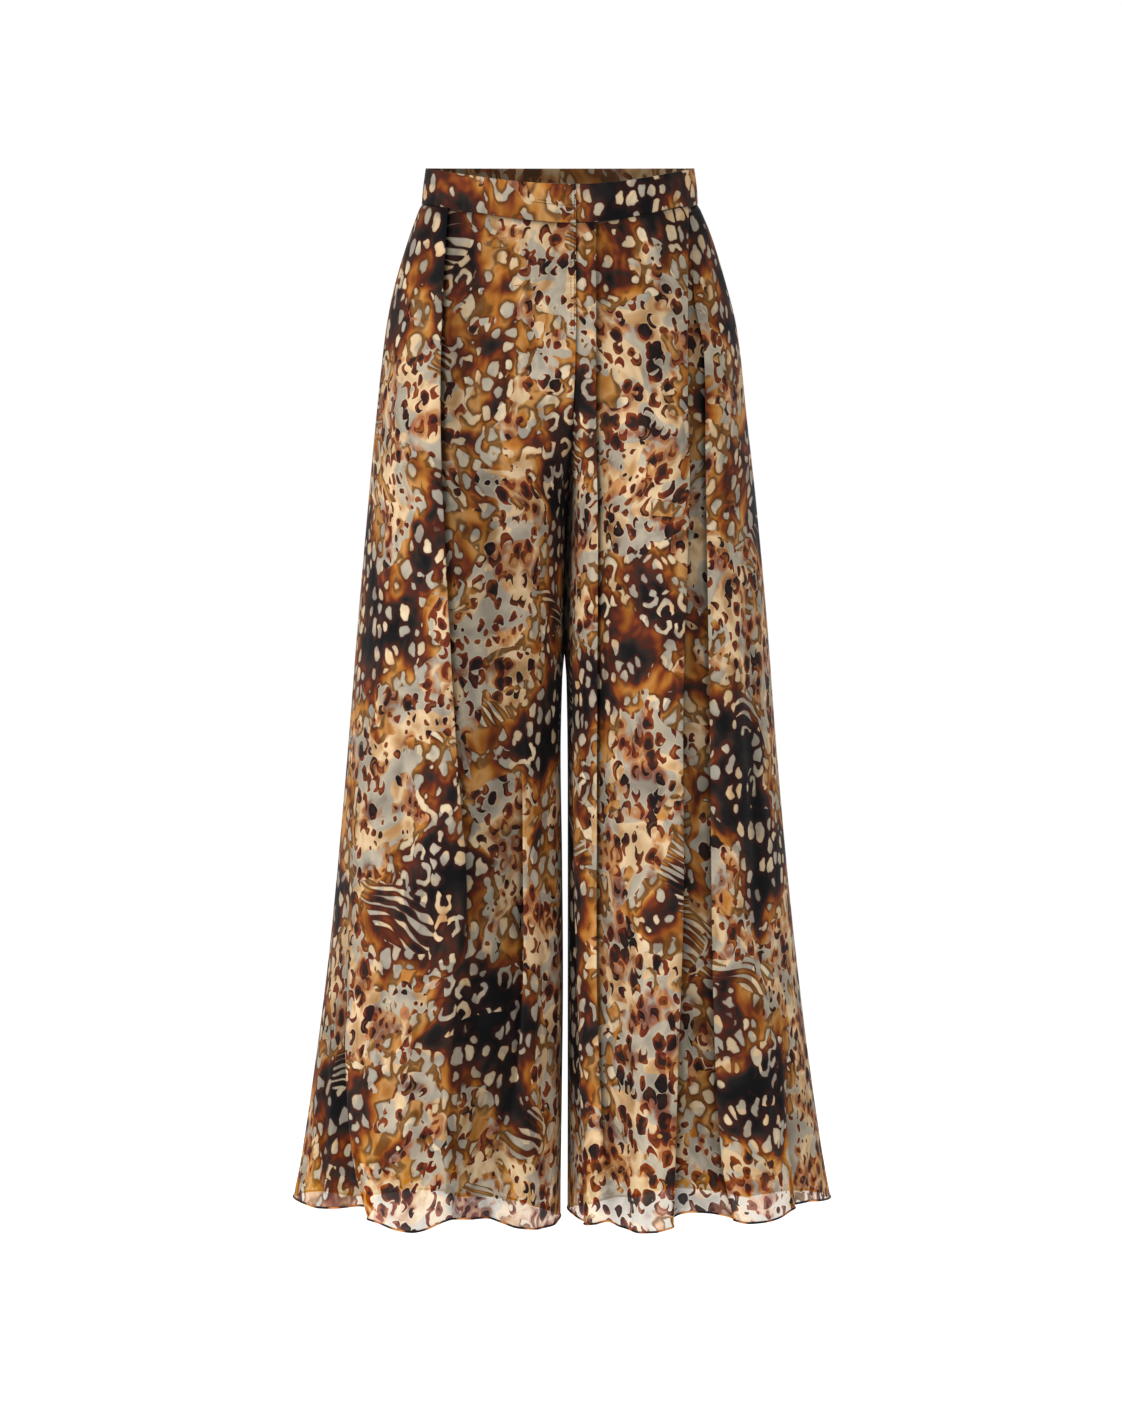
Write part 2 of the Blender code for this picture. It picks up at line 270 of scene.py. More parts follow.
RING_THINS = (0.35, 0.85)  # how squarely a place faces the opening, where a ring thins and ends
NO_RING = -0.0012  # half its width in the opening, below 0 so that it isn't there
NEAR_CENTRE = 0.001  # keeps the sum from dividing by 0 at a ring's centre


def rings(n, place, per_metre, radius, spread, thick):
    """Rings that are open on one side and thin out towards the opening."""
    way, far, own = cell_centres(n, place, per_metre, randomness=0.6)
    off_line = n.value("ABSOLUTE", n.value("SUBTRACT", far, own_radius(n, own, radius, spread)))
    facing = n.value("DIVIDE", turned_away(n, way, own), n.value("MAXIMUM", far, NEAR_CENTRE))
    width = n.ranged(facing, *RING_THINS, thick, NO_RING)
    return n.value("SUBTRACT", width, off_line)


STRIPE_PITCH = 0.0090  # from one stripe to the next
STRIPE_SLANT = 0.30


def stripes(n, cloth):
    """Zebra stripes that swell and end in points."""
    sway = n.warped(cloth, 13.0, 0.022, 0.0)
    across = n.add("ShaderNodeSeparateXYZ", {0: n.warped(sway, 55.0, 0.0016, 0.0)}).outputs
    slanted = n.value("MULTIPLY_ADD", across["X"], STRIPE_SLANT, across["Y"])
    phase = n.value("DIVIDE", slanted, STRIPE_PITCH)
    taper = n.noise(n.stretched(sway, 0.40, 1.4), 55.0, 0.5)
    edge = n.value("MULTIPLY_ADD", taper, -0.9, 0.79)
    stripe = n.value("SUBTRACT", n.value("PINGPONG", phase, 0.5), edge)
    return n.both(stripe, STRIPE_PITCH)


# %% [markdown]
# One slow noise, the tone, decides where the cloth is dark, golden or pale. The dark and the
# golden ground carry pale motifs, and the pale ground carries dark ones. A finer noise, the
# wash, runs through the inks like watercolour, so the fields meet in rust and burgundy.

# %% Ground of the print
DARK_TO_GOLD = (
    (0.00, "121214"), (0.16, "1E1B1A"), (0.25, "332621"), (0.31, "50251A"), (0.36, "74351B"),
    (0.42, "8C4E1E"), (0.49, "A96C2C"), (0.60, "BA8850"), (0.70, "A0662C"), (0.82, "BE9058"),
    (0.96, "80491F"),
)
CREAM = ((0.25, "A27A50"), (0.40, "BF986C"), (0.50, "D5B992"), (0.62, "CDAD84"), (0.75, "B08455"))
GREY = ((0.25, "857B6D"), (0.42, "9F9585"), (0.58, "AFA38F"), (0.75, "968C7E"))

GOLDEN = (0.36, 0.42)  # tones between which the dark ground turns golden
PALE = (0.545, 0.565)  # and between which it turns pale
PATCH_PUSH = 0.36  # how far small patches push the tone before it is read as pale
WASH_PUSH = 0.42  # how far the wash pushes the tone before it is read as an ink
GREY_HUE = (0.465, 0.495)

Ground = namedtuple("Ground", "tone wash golden pale light deep")


def make_ground(n, drift):
    """The tone and the wash, the shares of golden and pale ground, and the ground's two inks."""
    tone_place = elsewhere(n, n.stretched(drift, 1.0, 0.85), 0.37, 0.91)
    tone = n.ranged(n.noise(tone_place, 7.5, 1.5, roughness=0.55), 0.27, 0.73, 0.0, 1.0)
    wash = n.noise(n.stretched(drift, 1.0, 0.7), 38.0, 2.0)
    patch = n.noise(elsewhere(n, drift, 5.5, 3.3), 42.0, 1.0)
    patchy = n.value("ADD", tone, n.ranged(patch, 0.0, 1.0, -PATCH_PUSH, PATCH_PUSH))
    soaked = n.value("ADD", tone, n.ranged(wash, 0.0, 1.0, -WASH_PUSH, WASH_PUSH))
    hue = n.noise(elsewhere(n, drift, 9.3, 5.2), 24.0, 1.5)
    light = n.blend(n.fade(hue, *GREY_HUE), n.ramp(wash, *CREAM), n.ramp(wash, *GREY))
    deep = n.ramp(soaked, *DARK_TO_GOLD)
    return Ground(tone, wash, n.fade(tone, *GOLDEN), n.fade(patchy, *PALE), light, deep)


# %% [markdown]
# Dyes run in cloth this thin. So a pale motif on the dark ground has a brown halo outside its
# edge, and the dark spots on the pale ground are red-brown at the rim and stain the cloth
# around them in places. Both are only fades of the distance, in a second ink.

# %% The print as a node group
PEBBLE_INK = ((0.00, "8A8276"), (0.60, "A49C8E"), (0.68, "C0A886"), (0.90, "D8C4A4"))
SPOT_INK = (
    (0.30, "1B1515"), (0.40, "3A1B18"), (0.48, "6B2A1B"), (0.56, "7E3F1E"), (0.64, "4A241A"),
    (0.75, "1E1817"),
)
SPOT_CORE_INK = (
    (0.00, "1C1817"), (0.42, "33231D"), (0.60, "4C2A1E"), (0.72, "95592A"), (0.82, "B07A3E"),
    (0.92, "2A201D"),
)
STAIN = ((0.35, "6B2A1A"), (0.46, "9A5424"), (0.56, "B57A3C"), (0.66, "7E3F1C"))
HALO_INK = ((0.10, "331815"), (0.30, "4C2117"), (0.42, "3A2012"), (0.60, "301C12"))
OUTLINE_INK = "D8C29C"
RIM_INK = "6B4E30"
CLOUDS = (0.80, 1.10)  # how much darker or lighter slow clouds make the whole print

CRISP = 0.0003  # metres on each side of a motif's edge over which it fades
RINGS_ON_DARK = (0.57, 0.60)  # where the noise that picks the kind turns pebbles into rings
RINGS_ON_GOLD = (0.55, 0.58)
STRIPED = (0.71, 0.73)
DOTTED = (0.62, 0.64)
HALO_RUN = (0.007, 0.0010)  # metres that a halo runs: so much by the wash, and so much anyway
HALO_SHARE = 0.70
RIM_WIDTH = 0.0016
RIM_SHARE = 0.25
CORE = (0.0012, 0.0040)  # depths in a spot between which its rim turns into its core
OUTLINE = (-0.0014, -0.0003)
OUTLINE_SHARE = 0.30
STAIN_REACH = (-0.0062, -0.0010)
STAIN_SHARE = 0.85


def pale_motifs(n, cloth, ragged, drift, golden):
    """Small pebbles or rings on the dark ground, bigger ones on the golden one, and stripes."""
    small, own = pebbles(n, ragged, 68.0, gap=0.0016, radius=0.0054, spread=0.0046, left_out=0.20)
    place = elsewhere(n, ragged, 0.31, 0.17)
    big, _ = pebbles(n, place, 62.0, gap=0.0021, radius=0.0070, spread=0.0064, left_out=0.10)
    place = elsewhere(n, ragged, 0.83, 0.42)
    small_rings = rings(n, place, 52.0, radius=0.0062, spread=0.0026, thick=0.0022)
    place = elsewhere(n, ragged, 2.83, 1.42)
    large_rings = rings(n, place, 33.0, radius=0.0098, spread=0.0030, thick=0.0030)
    kind = n.noise(elsewhere(n, drift, 4.13, 2.77), 9.0, 1.0)
    on_dark = n.mix(n.fade(kind, *RINGS_ON_DARK), small, small_rings)
    on_gold = n.mix(n.fade(kind, *RINGS_ON_GOLD), big, large_rings)
    striped = n.fade(n.noise(elsewhere(n, drift, 7.7, 1.1), 10.0, 0.0), *STRIPED)
    return n.mix(striped, n.mix(golden, on_dark, on_gold), stripes(n, cloth)), own


def pale_on_dark(n, cloth, ragged, drift, ground):
    """The dark and golden ground with its pale motifs, their rims inside and halos outside."""
    motif, own = pale_motifs(n, cloth, ragged, drift, ground.golden)
    ink = n.blend(n.fade(ground.wash, 0.35, 0.65), n.ramp(own, *PEBBLE_INK), ground.light)
    run = n.value("MULTIPLY_ADD", ground.wash, *HALO_RUN)
    halo = n.less(n.fade(n.value("DIVIDE", n.both(motif, -1.0), run), 0.2, 1.0))
    below = n.blend(n.both(halo, HALO_SHARE), ground.deep, n.ramp(ground.tone, *HALO_INK))
    rim = n.less(n.fade(motif, 0.0, RIM_WIDTH))
    inside = n.blend(n.both(rim, RIM_SHARE), ink, linear(RIM_INK))
    return n.blend(n.fade(motif, -CRISP, CRISP), below, inside)


def dark_on_pale(n, ragged, drift, ground):
    """The pale ground with dark spots or dots, each in a cream outline, and stains round some."""
    place = elsewhere(n, ragged, 1.7, 2.9)
    spot, own = kidneys(n, place, 74.0, radius=0.0056, spread=0.0038, bite=0.72)
    place = elsewhere(n, ragged, 3.1, 0.6)
    dot, _ = pebbles(n, place, 105.0, gap=0.0014, radius=0.0032, spread=0.0032, left_out=0.12)
    dotted = n.fade(n.noise(elsewhere(n, drift, 2.2, 8.8), 11.0, 0.0), *DOTTED)
    spot = n.mix(dotted, spot, dot)
    ink = n.blend(n.fade(spot, *CORE), n.ramp(ground.wash, *SPOT_INK), n.ramp(own, *SPOT_CORE_INK))
    outline = n.both(n.fade(spot, *OUTLINE), OUTLINE_SHARE)
    outlined = n.blend(outline, ground.light, linear(OUTLINE_INK))
    runs = n.fade(n.noise(elsewhere(n, drift, 3.9, 7.2), 27.0, 1.0), 0.50, 0.58)
    stain = n.both(n.both(runs, n.fade(spot, *STAIN_REACH)), STAIN_SHARE)
    around = n.blend(stain, outlined, n.ramp(ground.wash, *STAIN))
    return n.blend(n.fade(spot, -CRISP, CRISP), around, ink)


def make_print():
    """The whole print, for a place on the printed length."""
    tree, n, came_in, goes_out = new_group("animal_print", [("Cloth", "Vector")], [("Color", "Color")])
    cloth = came_in["Cloth"]
    drift = n.warped(cloth, 12.0, 0.022)
    ragged = n.stretched(n.warped(cloth, 70.0, 0.0044, 1.5), 1.0, 0.72)
    ground = make_ground(n, drift)
    on_dark = pale_on_dark(n, cloth, ragged, drift, ground)
    on_pale = dark_on_pale(n, ragged, drift, ground)
    colour = n.blend(ground.pale, on_dark, on_pale)
    cloud = n.noise(elsewhere(n, drift, 6.6, 3.1), 30.0, 2.0)
    n.tree.links.new(n.scaled(colour, n.ranged(cloud, 0.3, 0.7, *CLOUDS)), goes_out["Color"])
    return tree


animal_print = make_print()
print("nodes in the print:", len(animal_print.nodes))

# %% [markdown]
# ## Chiffon
#
# Chiffon is a plain weave of hard twisted thread, so it has a dry, slightly crinkled face.
# Threads this fine are bump and not geometry. The cloth is sheer, but higher up the pleats
# and the print leave nothing to be made out behind it, so only the hem lets light through.
#
# The shell has an outer and an inner face. The outer one stops the light, and the inner one
# is clear near the hem, so that the cloth isn't counted twice.

# %% Weave and sheerness as node groups
GRAIN_HEIGHT = 0.00006
CRINKLE_HEIGHT = 0.00022
SLUB_HEIGHT = 0.0008


def make_weave():
    """The height of the threads and of the fine upright crinkle, in metres."""
    tree, n, came_in, goes_out = new_group("chiffon_weave", [("Cloth", "Vector")], [("Height", "Float")])
    cloth = came_in["Cloth"]
    grain = n.noise(cloth, 1400.0, 1.0)
    crinkle = n.noise(n.stretched(cloth, 1.0, 0.10), 240.0, 2.0)
    slub = n.noise(n.stretched(cloth, 1.0, 0.22), 60.0, 1.0)
    height = n.both(grain, GRAIN_HEIGHT)
    height = n.value("MULTIPLY_ADD", crinkle, CRINKLE_HEIGHT, height)
    height = n.value("MULTIPLY_ADD", slub, SLUB_HEIGHT, height)
    n.tree.links.new(height, goes_out["Height"])
    return tree


HEM_OPACITY = 0.62  # share of the light that the palest ink stops at the very edge
DARK_INK_SHARE = 0.06  # how much of that clearness the darkest ink has
DARK_TO_PALE = (0.01, 0.26)  # brightness of the darkest and of the palest ink
SHEER_REACH = 0.100  # metres above the hem at which the cloth hides all behind it
BELOW_HEM = -0.02  # the lowest place on the cut, where it is sheerest
LIT_GAIN = 0.70  # ink with light coming through it looks paler, here as a power of its darkness
LIT_SATURATION = 1.24  # and richer


def make_sheerness():
    """Alpha of the shell's two faces, from the ink and from the height above the hem."""
    takes = [("Cut", "Vector"), ("Ink", "Color")]
    gives = [("Ink", "Color"), ("Outer", "Float"), ("Inner", "Float")]
    tree, n, came_in, goes_out = new_group("hem_sheerness", takes, gives)
    up = n.add("ShaderNodeSeparateXYZ", {0: came_in["Cut"]}).outputs["Y"]
    brightness = n.add("ShaderNodeRGBToBW", {0: came_in["Ink"]}).outputs[0]
    clearness = n.ranged(brightness, *DARK_TO_PALE, DARK_INK_SHARE, 1.0)
    near_hem = n.less(n.fade(up, BELOW_HEM, SHEER_REACH))
    outer = n.less(n.both(near_hem, n.both(clearness, 1.0 - HEM_OPACITY)))
    richer = n.value("MULTIPLY_ADD", near_hem, LIT_SATURATION - 1.0, 1.0)
    darkness = n.vector("SUBTRACT", (1.0, 1.0, 1.0), came_in["Ink"])
    power = n.value("MULTIPLY_ADD", near_hem, LIT_GAIN, 1.0)
    thinned = n.add("ShaderNodeGamma", {"Color": darkness, "Gamma": power}).outputs[0]
    paler = n.vector("SUBTRACT", (1.0, 1.0, 1.0), thinned)
    lit = n.add("ShaderNodeHueSaturation", {"Saturation": richer, "Color": paler})
    n.tree.links.new(lit.outputs[0], goes_out["Ink"])
    n.tree.links.new(outer, goes_out["Outer"])
    n.tree.links.new(n.fade(up, 0.6 * SHEER_REACH, SHEER_REACH), goes_out["Inner"])
    return tree


chiffon_weave = make_weave()
hem_sheerness = make_sheerness()
print("nodes in the weave and the sheerness:", len(chiffon_weave.nodes), len(hem_sheerness.nodes))

# %% [markdown]
# The right side of the cloth has a faint sheen and almost no shine. On the wrong side the
# inks haven't gone all the way through, so the print is duller and warmer there. The inner
# faces are also painted a little darker, as painted shade for the inside of the garment, and
# the inner faces of the doubled band, which are right side too, get that ink as painted shade.
#
# Where layers lie on each other, little of the room's light gets in. A renderer finds most of
# that by itself, but not all of what a soft pleat shows, so each point of the cloth also has
# a value called shade, which darkens its ink. It is a little below 0 on the ridges and along
# the edge of a fold, where the ink is lighter. It is worked out with the folds below.

# %% Cloth materials
# Ink of the inner faces: a wrong side's real duller and warmer print, painted a little darker as shade
WRONG_SIDE_AND_SHADE_TINT = linear("8A6642")
WRONG_SIDE_AND_SHADE_TINTED = 0.30
WRONG_SIDE_AND_SHADE_DULLED = 0.90
CLOTH_ROUGHNESS = 0.62
CLOTH_SHINE = 0.04
CLOTH_SHEEN = 0.03
SHEEN_ROUGHNESS = 0.45
SHADE_DEPTH = 0.85


def new_material(name, roughness, shine):
    """A material, a writer for its nodes, and its shader."""
    material = bpy.data.materials.new(name)
    material.use_nodes = True
    shader = material.node_tree.nodes["Principled BSDF"]
    shader.inputs["Roughness"].default_value = roughness
    shader.inputs["Specular IOR Level"].default_value = shine
    return material, Nodes(material.node_tree), shader


def cloth_material(name, wrong_side=False, sheer=False):
    """Printed chiffon. The print reads one UV map and the weave and sheerness the other."""
    material, n, shader = new_material(name, CLOTH_ROUGHNESS, CLOTH_SHINE)
    printed = n.add("ShaderNodeUVMap", uv_map="print").outputs[0]
    cut = n.add("ShaderNodeUVMap", uv_map="cut").outputs[0]
    colour = n.group(animal_print, Cloth=printed)["Color"]
    if wrong_side:
        # inner faces: duller and warmer as a wrong side is, and painted darker as painted shade
        colour = n.scaled(n.blend(WRONG_SIDE_AND_SHADE_TINTED, colour, WRONG_SIDE_AND_SHADE_TINT), WRONG_SIDE_AND_SHADE_DULLED)
    shade = n.add("ShaderNodeAttribute", attribute_name="shade").outputs["Fac"]
    colour = n.scaled(colour, n.value("MULTIPLY_ADD", shade, -SHADE_DEPTH, 1.0))
    height = n.group(chiffon_weave, Cloth=cut)["Height"]
    bump = n.add("ShaderNodeBump", {"Height": height, "Strength": 1.0, "Distance": 1.0})
    if sheer:
        thin = n.group(hem_sheerness, Cut=cut, Ink=colour)
        colour = thin["Ink"]
        n.tree.links.new(thin["Inner" if wrong_side else "Outer"], shader.inputs["Alpha"])
    n.tree.links.new(colour, shader.inputs["Base Color"])
    n.tree.links.new(bump.outputs["Normal"], shader.inputs["Normal"])
    shader.inputs["Sheen Weight"].default_value = CLOTH_SHEEN
    shader.inputs["Sheen Roughness"].default_value = SHEEN_ROUGHNESS
    return material


leg_materials = [
    cloth_material("chiffon"),
    cloth_material("chiffon_wrong_side", wrong_side=True),
    cloth_material("chiffon_sheer", sheer=True),
    cloth_material("chiffon_sheer_wrong_side", wrong_side=True, sheer=True),
]
# the inside of the doubled band is right side too, so its duller, darker ink is painted shade
band_materials = [cloth_material("band_chiffon"), cloth_material("band_inside_painted_shade", wrong_side=True)]
print("cloth materials:", [material.name for material in leg_materials + band_materials])

# %% [markdown]
# ## The form of the legs
#
# At every height the right and left legs are ellipses, and the tables below give their half
# widths and depths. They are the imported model's own, so the cloth lies where its walls are.
# All rows are worked out at once with numpy, because a panel has fifty thousand points.

# %% Sizes of the garment
CLOTH_THICKNESS = 0.0005
SEAM_GAP = 0.0003  # between the walls of two pieces that are sewn together
BAND_TOP = 0.018
WAIST_SEAM = -0.018
HEM = -1.011  # its highest part, to a millimetre. HEM_DROPS says how far the rest hangs lower
RISE_STARTS = -0.120  # below it a panel begins to go past the middle and round inside its leg
CROTCH = -0.315

FRONT_TOP_DIP = 0.0120  # of the band's top edge at the centre front
FRONT_SEAM_DIP = 0.0145  # of the waist seam there
BACK_DIP = 0.0040  # of both at the centre back

# How far the hem hangs below HEM, at x along each panel's hem.
HEM_DROPS = {
    "front_right": (
        (-0.2670, 0.0012), (-0.2420, 0.0059), (-0.2218, 0.0038), (-0.2007, 0.0003), (-0.1908, 0.0008),
        (-0.1878, 0.0126), (-0.1668, 0.0209), (-0.1450, 0.0235), (-0.1310, 0.0205), (-0.1191, 0.0146),
        (-0.1082, 0.0118), (-0.0874, 0.0133), (-0.0705, 0.0120), (-0.0586, 0.0167), (-0.0428, 0.0228),
        (-0.0209, 0.0263), (-0.0050, 0.0246), (0.0000, 0.0200),
    ),
    "front_left": (
        (0.0070, 0.0122), (0.0199, 0.0188), (0.0269, 0.0216), (0.0358, 0.0193), (0.0478, 0.0161),
        (0.0587, 0.0212), (0.0765, 0.0250), (0.0993, 0.0241), (0.1112, 0.0198), (0.1142, 0.0078),
        (0.1311, 0.0046), (0.1509, 0.0056), (0.1698, 0.0099), (0.1713, 0.0119), (0.1848, 0.0163),
        (0.2037, 0.0152), (0.2218, 0.0113), (0.2308, 0.0041), (0.2328, 0.0013), (0.2490, -0.0007),
        (0.2697, 0.0015),
    ),
    "back_right": (
        (-0.2670, 0.0012), (-0.2410, 0.0028), (-0.2200, 0.0080), (-0.1990, 0.0124), (-0.1740, 0.0110),
        (-0.1500, 0.0070), (-0.1200, 0.0085), (-0.1000, 0.0130), (-0.0760, 0.0120), (-0.0500, 0.0135),
        (-0.0260, 0.0180), (-0.0060, 0.0205), (0.0000, 0.0200),
    ),
    "back_left": (
        (0.0070, 0.0122), (0.0180, 0.0150), (0.0340, 0.0165), (0.0560, 0.0120), (0.0760, 0.0135),
        (0.0900, 0.0080), (0.1158, 0.0038), (0.1400, 0.0060), (0.1682, 0.0097), (0.1900, 0.0130),
        (0.2100, 0.0095), (0.2300, 0.0050), (0.2500, 0.0020), (0.2697, 0.0015),
    ),
}

# At each height: how far the right and left sides are from the middle, how deep the ellipses
# are in front and at the back, where the fly and the seat seam are, and half the legs' gap.
Section = namedtuple("Section", "z right left front back fly seat split")
SECTIONS = (
    Section(-0.018, 0.1380, 0.1380, 0.088, 0.092, 0.0160, 0.0000, 0.00015),
    Section(-0.049, 0.1500, 0.1510, 0.095, 0.103, 0.0160, 0.0000, 0.00015),
    Section(-0.098, 0.1650, 0.1660, 0.104, 0.116, 0.0160, 0.0000, 0.00015),
    Section(-0.144, 0.1740, 0.1770, 0.109, 0.125, 0.0160, 0.0000, 0.00015),
    Section(-0.234, 0.1840, 0.1870, 0.113, 0.131, 0.0120, 0.0020, 0.00015),
    Section(-0.315, 0.1915, 0.1960, 0.114, 0.128, 0.0080, 0.0080, 0.00050),
    Section(-0.434, 0.2020, 0.2070, 0.114, 0.122, 0.0050, 0.0050, 0.00060),
    Section(-0.554, 0.2115, 0.2160, 0.115, 0.120, 0.0040, 0.0040, 0.00330),
    Section(-0.674, 0.2220, 0.2265, 0.117, 0.120, 0.0040, 0.0040, 0.00360),
    Section(-0.774, 0.2320, 0.2370, 0.119, 0.122, 0.0040, 0.0040, 0.00360),
    Section(-0.864, 0.2435, 0.2480, 0.122, 0.125, 0.0040, 0.0040, 0.00350),
    Section(-0.964, 0.2580, 0.2625, 0.126, 0.129, 0.0040, 0.0040, 0.00340),
    Section(-1.011, 0.2670, 0.2710, 0.129, 0.132, 0.0040, 0.0040, 0.00330),
)
print("top of the band to the hem, metres:", round(BAND_TOP - HEM, 3))

# %% Reading the tables
def smooth_step(low, high, value):
    """0 at low and 1 at high, eased. High may be the lower number."""
    share = np.clip((value - low) / (high - low), 0.0, 1.0)
    return share * share * (3.0 - 2.0 * share)


def bell(distance, width):
    """1 at no distance, about a third at the width and next to nothing at twice the width."""
    return np.exp(-((distance / width) ** 2))


def curve_through(places, values, at):
    """A smooth curve through (place, value), for falling places, read at many places."""
    places, values = np.array(places), np.array(values)
    at = np.clip(at, places[-1], places[0])
    last = len(places) - 1
    i = np.clip(np.searchsorted(-places, -at, side="left") - 1, 0, last - 1)

    def slope(k):
        before, after = np.maximum(k - 1, 0), np.minimum(k + 1, last)
        return (values[after] - values[before]) / (places[after] - places[before])

    span = places[i + 1] - places[i]
    t = (at - places[i]) / span
    start = values[i] * (1 + 2 * t) * (1 - t) ** 2 + slope(i) * span * t * (1 - t) ** 2
    return start + values[i + 1] * t * t * (3 - 2 * t) + slope(i + 1) * span * t * t * (t - 1)


def read_rows(rows, name, z):
    """One named column of a table at many heights."""
    return curve_through([row.z for row in rows], [getattr(row, name) for row in rows], z)


class Ellipses:
    """A panel's stretch of ellipse at many heights, from angle 0 at the side seam to end."""

    def __init__(self, side, facing, z):
        self.side, self.facing = side, facing
        self.middle = read_rows(SECTIONS, "fly" if facing < 0 else "seat", z)
        inner = side * self.middle + read_rows(SECTIONS, "split", z)
        outer = read_rows(SECTIONS, "left" if side > 0 else "right", z)
        self.end = math.pi / 2 + np.arcsin(smooth_step(RISE_STARTS, CROTCH, z))
        self.reach = (outer - inner) / (1.0 - np.cos(self.end))
        self.centre = outer - self.reach
        self.depth = read_rows(SECTIONS, "front" if facing < 0 else "back", z)

    def angle_at(self, x):
        return np.arccos(np.clip((self.side * x - self.centre) / self.reach, -1.0, 1.0))

    def speed(self, angle):
        """Metres of cloth for each radian."""
        return np.hypot(self.reach * np.sin(angle), self.depth * np.cos(angle))

    def places(self, angle, lift):
        """x and y of many points. angle has a row for each height."""
        reach, depth, centre = (v[:, None] for v in (self.reach, self.depth, self.centre))
        across, along = np.cos(angle), np.sin(angle)
        size = np.hypot(across / reach, along / depth)
        x = centre + reach * across + lift * across / reach / size
        y = SEAM_GAP / 2 + depth * along + lift * along / depth / size
        return self.side * x, self.facing * y


# %% [markdown]
# ## Pleats and creases
#
# A knife pleat is cloth folded over itself: three layers, of which the top one ends in an
# edge. A bump can't show that, because the print must break off at the edge and start again
# elsewhere. So the cloth really runs back under itself here. For s from -1 to 1 along the
# cloth, its place across is p = w (s - b sin(pi s)), which turns back between the two folds
# while the cloth climbs from the lower layer to the upper one.
#
# Each fold is a line down a panel. Its reach says how wide its raised side is. Its marks give,
# at a few heights, the line's x, how high the cloth stands on that side, half the width of the
# cloth in the turn (w above), and how far the layers overlap. Pressed pleats are narrow at the
# waist, and open into soft lobes below.

# %% Table of folds
INNER, OUTER = 1, -1  # the side that is raised: towards the middle, or towards the side seam

